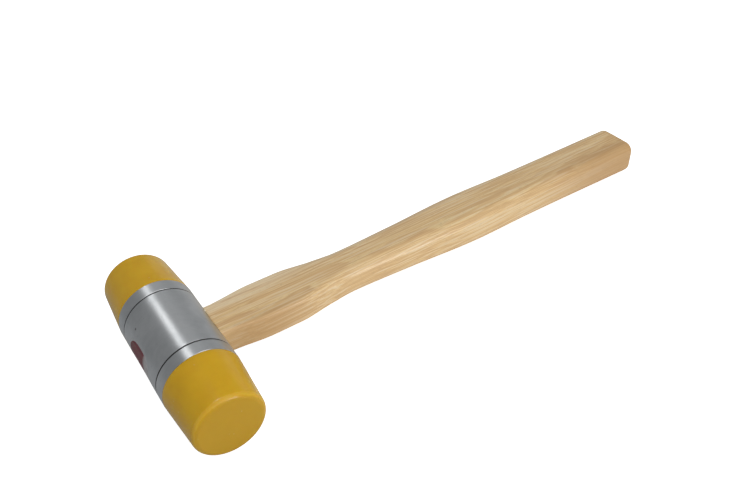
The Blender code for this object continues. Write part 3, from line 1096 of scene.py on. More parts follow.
@dataclass(frozen=True)
class SealLacquer(Finish):
    """Dark red lacquer brushed over the end grain, thin in streaks and ground off at its front end."""

    name: str = "brushed_lacquer"
    red: Colour = (0.22, 0.026, 0.040)
    dark: Colour = (0.115, 0.022, 0.030)
    thin: Colour = (0.20, 0.13, 0.10)
    bare: Colour = (0.54, 0.52, 0.52)
    tilt: float = 0.0
    patch_size: float = 4 * MM
    thin_height: float = 6.4 * MM
    thin_width: Pair = (0.9 * MM, 0.3 * MM)
    thin_wobble: float = 1.6 * MM
    ground_edge: Pair = (-3.4 * MM, -6.6 * MM)
    ground_wobble: float = 5 * MM
    brush_depth: float = 0.02 * MM

    def wire(self, graph: Graph, shader: bpy.types.Node) -> None:
        """Adds the finish's nodes in front of the shader.

        Args:
            graph: Adds nodes to the material.
            shader: The material's main shader.
        """
        inputs = {"Vector": graph.place(), "Angle": -self.tilt}
        place = graph.node("ShaderNodeVectorRotate", {"rotation_type": "Y_AXIS"}, inputs).outputs[0]
        _, y, z = graph.parts(place)
        wobble = graph.noise(place, 260.0, 3.0, 0.6)
        height = graph.plus(z, graph.swing(wobble, self.thin_wobble))
        away = graph.math("ABSOLUTE", graph.minus(height, self.thin_height))
        line = graph.times(graph.between(away, *self.thin_width), 0.5)
        streaks = graph.noise(graph.scaled(place, (1.0, 0.12, 1.0)), 620.0, 3.0, 0.6)
        thin = graph.math("MAXIMUM", line, graph.between(streaks, 0.56, 0.70))
        clouds = graph.effect(EFFECTS.blotches(), Position=place, Size=self.patch_size)["Tone"]
        base = graph.laid_on(graph.blend(clouds, self.dark, self.red), self.thin, thin, 0.6)
        ragged = graph.plus(y, graph.swing(wobble, self.ground_wobble))
        ground = graph.between(ragged, *self.ground_edge)
        graph.put(shader.inputs["Base Color"], graph.blend(ground, base, self.bare))
        graph.put(shader.inputs["Metallic"], ground)
        graph.put(shader.inputs["Roughness"], graph.level(clouds, 0.34, 0.46))
        shader.inputs["Specular IOR Level"].default_value = 0.25
        brushed = graph.noise(graph.scaled(place, (1.0, 0.2, 1.0)), 900.0, 3.0, 0.6)
        graph.put(shader.inputs["Normal"], graph.bump(brushed, self.brush_depth, 0.5))


@dataclass(frozen=True)
class ShotSteel(Finish):
    """Dull steel shot, bruised from knocking about."""

    name: str = "bruised_shot_steel"
    light: Colour = (0.42, 0.42, 0.43)
    dark: Colour = (0.20, 0.20, 0.21)
    patch_size: float = 2 * MM
    dent_size: float = 0.35 * MM
    dent_depth: float = 0.05 * MM
    dent_amount: float = 0.4

    def wire(self, graph: Graph, shader: bpy.types.Node) -> None:
        """Adds the finish's nodes in front of the shader.

        Args:
            graph: Adds nodes to the material.
            shader: The material's main shader.
        """
        place = graph.place()
        clouds = graph.effect(EFFECTS.blotches(), Position=place, Size=self.patch_size)["Tone"]
        sizes = {"Size": self.dent_size, "Amount": self.dent_amount}
        dents = graph.effect(EFFECTS.nicks(), Position=place, **sizes)["Mask"]
        graph.put(shader.inputs["Base Color"], graph.blend(clouds, self.dark, self.light))
        graph.put(shader.inputs["Roughness"], graph.level(dents, 0.38, 0.6))
        shader.inputs["Metallic"].default_value = 1.0
        graph.put(shader.inputs["Normal"], graph.bump(graph.flipped(dents), self.dent_depth, 0.6))


@dataclass(frozen=True)
class StudioFloor(Finish):
    """A plain pale sweep: nearly white to the eye, a soft grey in what the steel reflects."""

    name: str = "studio_floor"
    seen: Colour = (0.93, 0.93, 0.93)
    shaded: Colour = (0.49, 0.50, 0.51)
    sunlit: Colour = (0.84, 0.84, 0.83)
    white: Colour = (1.0, 1.0, 1.0)
    lift: float = 0.85
    bounce: float = 0.05
    turn_start: float = -0.15
    turn_end: float = -0.07

    def wire(self, graph: Graph, shader: bpy.types.Node) -> None:
        """Adds the finish's nodes in front of the shader.

        Args:
            graph: Adds nodes to the material.
            shader: The material's main shader.
        """
        graph.put(shader.inputs["Base Color"], self.seen)
        graph.put(shader.inputs["Emission Color"], self.white)
        shader.inputs["Roughness"].default_value = 0.9
        shader.inputs["Specular IOR Level"].default_value = 0.0
        shader.inputs["Emission Strength"].default_value = self.lift
        side = graph.between(graph.parts(graph.place())[0], self.turn_start, self.turn_end)
        grey = graph.blend(side, self.shaded, self.sunlit)
        matt = graph.node("ShaderNodeBsdfDiffuse", inputs={"Color": grey})
        glow = graph.node("ShaderNodeEmission", inputs={"Strength": self.bounce})
        both = graph.node("ShaderNodeAddShader", inputs={0: matt.outputs[0], 1: glow.outputs[0]})
        ray = graph.node("ShaderNodeLightPath").outputs["Is Camera Ray"]
        inputs = {0: ray, 1: both.outputs[0], 2: shader.outputs[0]}
        mixed = graph.node("ShaderNodeMixShader", inputs=inputs)
        graph.put(graph.tree.nodes["Material Output"].inputs["Surface"], mixed.outputs[0])


# ---------------------------------------------------------------------------------------------
# The oval eye
# ---------------------------------------------------------------------------------------------


@dataclass(frozen=True)
class EyeShape:
    """The eye's oval, which widens towards the wedged side at -X."""

    half_length: float = 12.0 * MM
    wide_half: float = 9.2 * MM
    narrow_half: float = 7.9 * MM
    wall: float = 1.0 * MM
    fit: float = 0.3 * MM
    fullness: float = 2.8

    def filled(self, value: float) -> float:
        """Bends a sine or cosine outwards, as the oval's fullness asks."""
        return math.copysign(abs(value) ** (2 / self.fullness), value)

    def reach(self, height: float, length: float, width: float) -> float:
        """Half length of an oval at a height above its long axis."""
        return length * (1 - (height / width) ** self.fullness) ** (1 / self.fullness)

    def half_width(self, x: float, radius: float) -> float:
        """Half of the oval's width at a distance along the handle."""
        spread = (self.wide_half - self.narrow_half) / (2 * radius)
        return (self.wide_half + self.narrow_half) / 2 - spread * x

    def ring(
        self, side: int, radius: float, growth: float, angles: Sequence[float], surface: float
    ) -> list[Point]:
        """The oval where it meets a cylinder round the head's axis.

        Args:
            side: -1 for the wedged side, 1 for the handle's.
            radius: The head's radius, over which the taper runs.
            growth: How much larger than the eye the oval is all round.
            angles: Where its points are, in radians from +Y towards +Z.
            surface: The cylinder's radius.

        Returns:
            One point for each angle.
        """
        points = []
        for angle in angles:
            y = (self.half_length + growth) * self.filled(math.cos(angle))
            z = 0.0
            x = side * surface
            for _ in range(6):
                z = (self.half_width(x, radius) + growth) * self.filled(math.sin(angle))
                x = side * math.sqrt(max(surface**2 - z**2, 0.0))
            points.append((x, y, z))
        return points


@dataclass(frozen=True)
class WedgeShape:
    """The wedge that spreads the tenon, and the seal's depth over them both."""

    length: float = 20.0 * MM
    thick: float = 3.0 * MM
    thin: float = 0.8 * MM
    side: float = 0.7 * MM
    seal_depth: float = 3.0 * MM
    kerf_gap: float = 0.05 * MM

    def half_thickness(self, distance: float) -> float:
        """Half of the wedge's thickness at a distance from its thick end."""
        return (self.thick + (self.thin - self.thick) * distance / self.length) / 2


# ---------------------------------------------------------------------------------------------
# The steel head
# ---------------------------------------------------------------------------------------------


@dataclass
class SteelHead:
    """The housing with its eye sleeve, and the two end caps that close it."""

    axes: MalletFrame
    eye: EyeShape
    wall: float = 4.0 * MM
    chamfer: float = 0.2 * MM
    bore_chamfer: float = 0.2 * MM
    easing: float = 0.06 * MM
    seam: float = 0.03 * MM
    rim_width: float = 0.35 * MM
    punch_place: Pair = (10.4 * MM, 12.5 * MM)
    punch_patch: float = 1.8 * MM
    punch_radius: float = 0.85 * MM
    punch_depth: float = 0.19 * MM
    punch_cuts: int = 3
    lip: float = 0.15 * MM
    rings: int = 14
    crowding: float = 1.7
    groove_depth: float = 0.8 * MM
    spigot_gap: float = 0.3 * MM
    spigot_wall: float = 2.0 * MM
    cap_floor: float = 5.0 * MM
    spigot_to_eye: float = 2.2 * MM
    stud_radius: float = 6.0 * MM
    stud_chamfer: float = 1.0 * MM
    stud_relief: float = 1.2 * MM
    stud_nose: float = 0.2 * MM
    thread_depth: float = 1.05 * MM
    thread_run_out: float = 0.5
    thread_rows: int = 14
    sleeve_easing: float = 0.10 * MM
    sleeve_drop: float = 0.02 * MM
    sleeve_waist: float = 0.6
    segments: int = 224
    pieces: list = field(default_factory=list)

    @property
    def hole_growth(self) -> float:
        """How much larger than the eye the housing's hole is, for the sleeve and its seam."""
        return self.eye.wall + self.seam

    def border(self, end: float) -> list[Pair]:
        """Runs round half of a cylinder's wall.

        Args:
            end: Half of the cylinder's length.

        Returns:
            Pairs of the angle round the head and the place along it.
        """
        quarter = self.segments // 4
        across = [end * (2 * i / quarter - 1) for i in range(quarter + 1)]
        around = [math.pi * (i / (2 * quarter) - 0.5) for i in range(2 * quarter + 1)]
        border = [(math.pi / 2, y) for y in across[::-1]]
        border += [(angle, -end) for angle in around[::-1][1:]]
        border += [(-math.pi / 2, y) for y in across[1:]]
        border += [(angle, end) for angle in around[1:-1]]
        return border

    def eye_angles(self, side: int, surface: float, end: float) -> list[float]:
        """Where the oval has a point for each point of the border.

        Args:
            side: -1 for the wedged side, 1 for the handle's.
            surface: The cylinder's radius.
            end: Half of its length.

        Returns:
            Angles in radians.
        """
        half = self.eye.half_width(side * surface, self.axes.head_radius)
        length = self.eye.half_length
        return [math.atan2(angle * surface / half, y / length) for angle, y in self.border(end)]

    def pierced(self, skin: Skin, surface: float, end: float, growth: float, depth: float) -> None:
        """Adds a cylinder round the head's axis with the oval eye through both of its sides.

        Args:
            skin: What the faces are added to.
            surface: The cylinder's radius.
            end: Half of its length.
            growth: How much larger than the eye the hole is.
            depth: Width of the eased edge round the hole, towards the inside of the wall.
        """
        radius = self.axes.head_radius
        border = self.border(end)
        steps = [t**self.crowding for t in np.linspace(0, 1, self.rings + 1)]
        for side in (-1, 1):
            angles = self.eye_angles(side, surface, end)
            lip = growth + abs(depth)
            hole = self.eye.ring(side, radius, lip, angles, surface)
            inner = self.eye.ring(side, radius, growth, angles, surface - depth)
            rows = [inner]
            for t in steps:
                row = []
                for (angle, y), (hx, hy, hz) in zip(border, hole):
                    hole_angle = math.atan2(hz, side * hx)
                    bend = hole_angle + (angle - hole_angle) * t
                    x, z = surface * math.cos(bend), surface * math.sin(bend)
                    row.append((side * x, hy + (y - hy) * t, z))
                rows.append(row)
            skin.grid(rows)

    def housing(self) -> bpy.types.Object:
        """Turns the tube, with eased ends and the eye through both walls.

        Returns:
            The housing in its own axes, not yet turned.
        """
        outer = self.axes.head_radius
        bore = outer - self.wall
        end = self.axes.housing_end
        soft = self.easing
        skin = Skin()
        shoulder = end - self.chamfer
        plain_end = shoulder - self.rim_width
        bore_end = end - self.bore_chamfer
        self.pierced(skin, outer, plain_end, self.hole_growth, soft)
        self.pierced(skin, bore, bore_end, self.hole_growth, -soft)
        angles = evenly_round(self.segments // 4 * 4)
        for side in (-1, 1):
            rows = []
            outline = eased(
                [
                    (outer, plain_end),
                    (outer, shoulder),
                    (outer - self.chamfer, end),
                    (bore + self.bore_chamfer, end),
                    (bore, bore_end),
                ],
                soft,
            )
            for radius, y in outline:
                rows.append([(radius * math.cos(a), side * y, radius * math.sin(a)) for a in angles])
            skin.grid(rows)
        for side in (-1, 1):
            rows = []
            for surface, end, sink in ((outer, plain_end, soft), (bore, bore_end, -soft)):
                angles = self.eye_angles(side, surface, end)
                rows.append(self.eye.ring(side, outer, self.hole_growth, angles, surface - sink))
            skin.grid(rows)
        return skin.finish("turned_housing")

    def sleeve(self) -> bpy.types.Object:
        """Draws the oval tube round the wood, flush with the housing on the wedged side.

        Returns:
            The sleeve in its own axes, not yet turned.
        """
        radius = self.axes.head_radius
        inside = radius - self.wall - self.eye.fit
        angles = evenly_round(OVAL_POINTS)
        soft = self.sleeve_easing
        top = radius - self.sleeve_drop
        waist = self.sleeve_waist * radius
        outer = self.eye.wall
        rows = [
            self.eye.ring(-1, radius, outer, angles, radius - soft),
            self.eye.ring(-1, radius, outer - soft, angles, top),
            self.eye.ring(-1, radius, soft, angles, top),
            self.eye.ring(-1, radius, 0.0, angles, radius - soft),
            self.eye.ring(-1, radius, 0.0, angles, waist),
            self.eye.ring(1, radius, 0.0, angles, waist),
            self.eye.ring(1, radius, 0.0, angles, inside - soft),
            self.eye.ring(1, radius, soft, angles, inside),
            self.eye.ring(1, radius, outer - soft, angles, inside),
            self.eye.ring(1, radius, outer, angles, inside - soft),
            self.eye.ring(1, radius, outer, angles, waist),
            self.eye.ring(-1, radius, outer, angles, waist),
        ]
        rows.append(rows[0])
        return Skin().grid(rows).finish("oval_sleeve")

    def cap(self, end: End) -> bpy.types.Object:
        """Turns one end cap with its chamber, collar and threaded stud.

        Args:
            end: The end of the head that it closes.

        Returns:
            The cap, in place.
        """
        outer = self.axes.head_radius
        steel_end = self.axes.steel_end
        spigot = outer - self.wall - self.spigot_gap
        chamber = spigot - self.spigot_wall
        start = self.eye.half_length + self.eye.wall + self.spigot_to_eye
        thread_start = steel_end + self.stud_relief
        thread_stop = self.axes.stud_end - self.stud_chamfer
        thread = Thread(thread_start, thread_stop, self.thread_depth, self.thread_run_out)
        root = self.stud_radius - self.thread_depth
        groove = outer - self.groove_depth
        gap_end = self.axes.housing_end + self.spigot_gap
        collar_start = self.axes.collar_start
        collar = eased(
            [
                (0.0, steel_end - self.cap_floor),
                (chamber, steel_end - self.cap_floor),
                (chamber, start),
                (spigot, start),
                (spigot, gap_end),
                (groove, gap_end),
                (groove, collar_start),
                (outer - self.chamfer, collar_start),
                (outer, collar_start + self.chamfer),
                (outer, collar_start + self.chamfer + self.rim_width),
                (outer, steel_end - self.lip - self.rim_width),
                (outer, steel_end - self.lip),
                (outer - self.lip, steel_end),
                (root, steel_end),
                (root, thread_start),
            ],
            self.easing,
        )
        profile = collar[:-1]
        for height in finely(thread_start, thread_stop, thread.pitch / self.thread_rows):
            profile.append((root, height))
        profile.append((root - self.stud_nose, self.axes.stud_end - self.stud_nose / 2))
        profile.append((root - 2 * self.stud_nose, self.axes.stud_end))
        profile.append((0.0, self.axes.stud_end))

        def swell(radius: float, height: float, angle: float) -> float:
            """The thread's height on the stud; the rest of the cap has none."""
            return thread.rise(height, angle) if radius <= self.stud_radius else 0.0

        made = turned(f"screwed_cap_{end.word}", profile, self.segments, swell)
        self.axes.set_round(made, end.value)
        return made

    def punch_mark(self, housing: bpy.types.Object) -> None:
        """Dents the housing where a pointed punch has touched it, beside the eye.

        Args:
            housing: The housing, still in its own axes with its mesh not yet turned.
        """
        radius = self.axes.head_radius
        x = -math.sqrt(radius**2 - self.punch_place[1] ** 2)
        middle = Vector((x, self.punch_place[0], self.punch_place[1]))
        work = bmesh.new()
        work.from_mesh(housing.data)
        for _ in range(self.punch_cuts):
            near = []
            for edge in work.edges:
                halfway = (edge.verts[0].co + edge.verts[1].co) / 2
                if (halfway - middle).length < self.punch_patch:
                    near.append(edge)
            bmesh.ops.subdivide_edges(work, edges=near, cuts=1, use_grid_fill=True)
        for vert in work.verts:
            away = (vert.co - middle).length
            if away < self.punch_patch:
                out = Vector((vert.co.x, 0, vert.co.z)).normalized()
                level = radius - self.punch_depth * math.exp(-((away / self.punch_radius) ** 2))
                vert.co = Vector((0, vert.co.y, 0)) + out * level
        work.to_mesh(housing.data)
        work.free()

    def build(self) -> "SteelHead":
        """Makes the head's steel pieces in place."""
        housing = self.housing()
        self.punch_mark(housing)
        sleeve = self.sleeve()
        for piece in (housing, sleeve):
            self.axes.set_tilted_round(piece)
        self.pieces = [(housing, "housing_sleeve"), (sleeve, "eye_sleeve")]
        for end in End:
            self.pieces.append((self.cap(end), f"end_cap_{end.word}"))
        return self

    def dress(self) -> None:
        """Gives each piece its finish and body, and logs its slot."""
        steel = TurnedSteel(outside=self.axes.head_radius, last_joint=self.axes.collar_start).material()
        for piece, node in self.pieces:
            mark_rims(piece)
            adopt(piece, "head_and_handle", "turned_steel", [node], steel)


# ---------------------------------------------------------------------------------------------
# Striking tips
# ---------------------------------------------------------------------------------------------


@dataclass
class StrikingTip:
    """One plastic tip with the threaded bush moulded into it."""

    axes: MalletFrame
    end: End
    taper: float = 2.2 * MM
    edge_radius: float = 3.0 * MM
    stud_radius: float = 6.0 * MM
    bore_gap: float = 0.3 * MM
    bush_wall: float = 2.7 * MM
    bush_flange: float = 4.0 * MM
    bush_waist: float = 1.0 * MM
    bush_recess: float = 0.3 * MM
    seat_gap: float = 0.06 * MM
    base_gap: float = 0.04 * MM
    seat_easing: float = 0.1 * MM
    base_edge: Pair = (0.5 * MM, 0.35 * MM)
    base_round: float = 0.3 * MM
    rim_steps: int = 14
    row_gap: float = 2.0 * MM
    bush_easing: float = 0.15 * MM
    bush_segments: int = 96
    thread_depth: float = 0.9 * MM
    thread_run_out: float = 0.4
    thread_rows: int = 12
    segments: int = 160
    pieces: list = field(default_factory=list)

    def bush_outline(self, grow: float) -> list[Pair]:
        """The bush's waisted outside.

        Args:
            grow: A gap to grow it by all round.

        Returns:
            (radius, height) points, base first.
        """
        start = self.axes.steel_end + self.bore_gap + self.bush_recess
        stop = self.axes.stud_end + self.bore_gap
        outer = self.stud_radius + self.bore_gap + self.bush_wall + grow
        waist = outer - self.bush_waist
        return [
            (outer, start - grow),
            (outer, start + self.bush_flange + grow),
            (waist, start + self.bush_flange + self.bush_waist + grow),
            (waist, stop - self.bush_flange - self.bush_waist - grow),
            (outer, stop - self.bush_flange - grow),
            (outer, stop + grow),
        ]

    def shell(self) -> bpy.types.Object:
        """Turns the plastic: a slight cone with a round striking edge and the bush's seat.

        Returns:
            The plastic, in place.
        """
        radius = self.axes.head_radius
        base = self.axes.steel_end + self.base_gap
        face = self.axes.face
        lean = math.atan2(self.taper, face - self.axes.steel_end)
        centre = face - self.edge_radius
        cone = radius - (centre - self.axes.steel_end) * math.tan(lean)
        middle = cone - self.edge_radius / math.cos(lean)
        seat = self.bush_outline(self.seat_gap)
        profile = [(0.0, seat[-1][1])]
        profile += eased([*seat[:0:-1], (seat[0][0], base)], self.seat_easing)
        flat, corner = self.base_edge
        profile.append((radius - flat, base))
        profile += arc_points((radius - corner, base + self.base_round), self.base_round, -90, 0, 3)[1:]
        near_base = profile[-1]
        rim_arc = arc_points((middle, centre), self.edge_radius, math.degrees(lean), 90, self.rim_steps)
        for height in finely(near_base[1], rim_arc[0][1], self.row_gap)[1:-1]:
            profile.append((radius - (height - self.axes.steel_end) * math.tan(lean), height))
        profile += rim_arc
        for wide in finely(middle, 0.0, self.row_gap)[1:]:
            profile.append((wide, face))
        made = turned(f"plastic_tip_{self.end.word}", profile, self.segments)
        self.axes.set_round(made, self.end.value)
        return made

    def bush(self) -> bpy.types.Object:
        """Turns the steel bush, with its thread cut outwards from the bore.

        Returns:
            The bush, in place.
        """
        outside = eased(self.bush_outline(0.0), self.bush_easing)
        bore = self.stud_radius + self.bore_gap
        start = outside[0][1]
        stop = outside[-1][1]
        thread = Thread(start, stop, self.thread_depth, self.thread_run_out)
        profile = list(outside)
        for height in finely(stop, start, thread.pitch / self.thread_rows):
            profile.append((bore, height))

        def swell(radius: float, height: float, angle: float) -> float:
            """The thread's depth in the bore; the outside has none."""
            return thread.rise(height, angle) if radius <= bore + WELD else 0.0

        made = turned(f"threaded_bush_{self.end.word}", profile, self.bush_segments, swell)
        self.axes.set_round(made, self.end.value)
        return made

    def build(self) -> "StrikingTip":
        """Makes the tip and its bush in place."""
        self.pieces = [self.shell(), self.bush()]
        return self

    def dress(self) -> None:
        """Gives both pieces their finish and body, and logs their slot."""
        shell, bush = self.pieces
        word = self.end.word
        mark_tip_rim(shell, self.axes.face, self.edge_radius)
        mark_rims(bush)
        plastic = TipPlastic(face=self.axes.face).material()
        adopt(shell, f"{word}_tip", "tip_plastic", [f"striking_tip_{word}"], plastic)
        bush_steel = TurnedSteel(name="cut_bush_steel", pitch=0.25 * MM, anisotropy=0.3).material()
        adopt(bush, f"{word}_bush", "bush_steel", [f"tip_bush_{word}"], bush_steel)


def mark_tip_rim(piece: bpy.types.Object, face: float, edge: float) -> None:
    """Stores the point attribute "rim", which is 1 along the middle of a tip's round edge.

    Args:
        piece: The tip, with its axis along local Z.
        face: Height of the striking face.
        edge: Radius of the round edge.
    """
    values = []
    for vert in piece.data.vertices:
        height = (vert.co.z - (face - edge)) / edge
        values.append(math.sin(math.pi * height) if 0 < height < 1 else 0.0)
    store_rim(piece, values)


# ---------------------------------------------------------------------------------------------
# The handle and what holds it in the eye
# ---------------------------------------------------------------------------------------------


@dataclass
class Handle:
    """The wooden handle: slab, waist, grip and butt, with its tenon in the eye."""

    axes: MalletFrame
    eye: EyeShape
    wedge: WedgeShape
    shoulder_cover: float = 0.2 * MM
    slab_flare: float = 2.3 * MM
    slab_corner: float = 2.0 * MM
    slab_start: float = 25.0 * MM
    slab_end: float = 40.0 * MM
    butt: tuple[float, float, float] = (13.9 * MM, 10.2 * MM, 5.5 * MM)
    butt_edge: float = 2.6 * MM
    butt_steps: int = 8
    butt_rings: Point = (0.75, 0.5, 0.25)
    shoulder_gap: float = 0.06 * MM
    blend_length: float = 9.0 * MM
    blend_steps: int = 8
    tenon_reach: float = 0.85
    tenon_step: float = 3.0 * MM
    sharp: float = 35.0
    ring_step: float = 1.4 * MM
    crown: float = 0.25 * MM
    corner_steps: int = 10
    flat_steps: int = 12
    piece: bpy.types.Object | None = None

    def stations(self) -> np.ndarray:
        """Distance from the head's axis, half width, half thickness and corner radius, in order."""
        radius = self.axes.head_radius
        width = self.eye.half_length - self.eye.fit + self.shoulder_cover
        thick = self.eye.narrow_half - self.eye.fit + self.shoulder_cover
        rows = [
            (radius / 2, width, thick, self.slab_corner),
            (radius, width, thick, self.slab_corner),
            (radius + self.slab_start, width + self.slab_flare, thick, self.slab_corner),
            (radius + self.slab_end, width + self.slab_flare, thick, self.slab_corner),
            (radius + 60.0 * MM, 12.8 * MM, 8.4 * MM, 5.4 * MM),
            (radius + 75.0 * MM, 11.6 * MM, 8.7 * MM, 6.2 * MM),
            (radius + 110.0 * MM, 12.8 * MM, 9.2 * MM, 6.5 * MM),
            (radius + 160.0 * MM, 14.9 * MM, 10.0 * MM, 6.5 * MM),
            (radius + 195.0 * MM, 14.2 * MM, 10.0 * MM, 6.5 * MM),
            (self.axes.handle_length, *self.butt),
        ]
        return np.array(rows)

    def section(self, distance: float) -> tuple[float, float, float]:
        """The handle's cross-section, eased between the stations without overshoot.

        Args:
            distance: How far it is from the head's axis.

        Returns:
            Half width, half thickness and corner radius.
        """
        table = self.stations()
        places = table[:, 0]
        steps = np.diff(places)
        index = int(np.clip(np.searchsorted(places, distance, side="right") - 1, 0, len(steps) - 1))
        part = (distance - places[index]) / steps[index]
        values = []
        for column in table.T[1:]:
            chords = np.diff(column) / steps
            slopes = np.zeros(len(column))
            slopes[0] = chords[0]
            slopes[-1] = chords[-1]
            for i in range(1, len(column) - 1):
                if chords[i - 1] * chords[i] > 0:
                    slopes[i] = 2 * chords[i - 1] * chords[i] / (chords[i - 1] + chords[i])
            start = column[index] * (1 + 2 * part) * (1 - part) ** 2
            start += slopes[index] * steps[index] * part * (1 - part) ** 2
            end = column[index + 1] * part**2 * (3 - 2 * part)
            end += slopes[index + 1] * steps[index] * part**2 * (part - 1)
            values.append(float(start + end))
        return values[0], values[1], values[2]

    def outline(self, width: float, thick: float, corner: float) -> list[Pair]:
        """A rectangle with round corners and faintly crowned sides.

        Args:
            width: Half of its size along Y.
            thick: Half of its size along Z.
            corner: Radius of its corners.

        Returns:
            Pairs of Y and Z, from the middle of the +Y side round through +Z.
        """
        points = rounded_rectangle(width, thick, corner, self.corner_steps, self.flat_steps)
        crowned = []
        for y, z in points:
            pull = self.crown * (y / width) ** 2 * (z / thick) ** 2
            crowned.append((y - math.copysign(pull, y), z - math.copysign(pull, z)))
        return crowned

    def wood(self) -> bpy.types.Object:
        """Makes the handle in one skin, from the tenon's end to the butt.

        Returns:
            The wood in the mallet's axes, without its slit.
        """
        radius = self.axes.head_radius
        head = radius + self.shoulder_gap
        blend_end = radius + self.blend_length
        grip_end = self.axes.handle_length - self.butt_edge
        rows = []
        first = self.outline(*self.section(radius))
        angles = [math.atan2(z / self.eye.narrow_half, y / self.eye.half_length) for y, z in first]
        tenon_end = -(radius - self.wedge.seal_depth)
        tenon = []
        for x in finely(tenon_end, head * self.tenon_reach, self.tenon_step):
            half = self.eye.half_width(x, radius) - self.eye.fit
            long = self.eye.half_length - self.eye.fit
            filled = self.eye.filled
            tenon.append([(x, long * filled(math.cos(a)), half * filled(math.sin(a))) for a in angles])
        rows.append([(tenon_end, 0.0, 0.0)])
        rows += tenon
        rows.append(self.eye.ring(1, radius, -self.eye.fit, angles, head))
        for t in np.linspace(0, 1, self.blend_steps + 1):
            x = radius + (blend_end - radius) * t
            row = []
            for y, z in self.outline(*self.section(x)):
                saddle = math.sqrt(head**2 - z**2)
                row.append((saddle * (1 - t) + blend_end * t, y, z))
            rows.append(row)
        for x in finely(blend_end, grip_end, self.ring_step)[1:]:
            rows.append([(x, y, z) for y, z in self.outline(*self.section(x))])
        corner = self.section(grip_end)[2]
        for i in range(1, self.butt_steps + 1):
            angle = math.pi / 2 * i / self.butt_steps
            inset = self.butt_edge * (1 - math.cos(angle))
            x = grip_end + self.butt_edge * math.sin(angle)
            wide, deep, _ = self.section(x)
            ring = self.outline(wide - inset, deep - inset, corner - inset)
            rows.append([(x, y, z) for y, z in ring])
        last = rows[-1]
        for shrink in self.butt_rings:
            rows.append([(x, y * shrink, z * shrink) for x, y, z in last])
        rows.append([(self.axes.handle_length, 0.0, 0.0)])
        return Skin().grid(rows).finish("hickory_handle", self.sharp)

    def slit(self, wood: bpy.types.Object) -> None:
        """Saws the wedge's slit through the tenon, right across it.

        Args:
            wood: The handle, still in the mallet's axes.
        """
        gap = self.wedge.kerf_gap
        start = self.wedge.seal_depth - self.axes.head_radius
        outline = []
        for distance in (-gap, self.wedge.length + gap):
            outline.append((start + distance, self.wedge.half_thickness(distance) + gap))
        outline += [(x, -z) for x, z in reversed(outline)]
        rows = []
        for y in (-self.axes.head_radius, self.axes.head_radius):
            rows.append([(x, y, z) for x, z in outline])
        ends = [[(start + self.wedge.length / 2, y, 0.0)] for y in (rows[0][0][1], rows[1][0][1])]
        cutter = Skin().grid([ends[0], *rows, ends[1]]).finish("slit_cutter")
        cut = wood.modifiers.new("slit", "BOOLEAN")
        cut.operation = "DIFFERENCE"
        cut.object = cutter
        graph = bpy.context.evaluated_depsgraph_get()
        wood.data = bpy.data.meshes.new_from_object(wood.evaluated_get(graph))
        wood.modifiers.clear()
        bpy.data.objects.remove(cutter)

    def build(self) -> "Handle":
        """Makes the handle in place."""
        self.piece = self.wood()
        self.slit(self.piece)
        self.axes.set_tilted(self.piece)
        return self

    def dress(self) -> None:
        """Gives the handle its finish and body, and logs its slot."""
        adopt(self.piece, "head_and_handle", "hickory", ["handle"], Hickory().material())


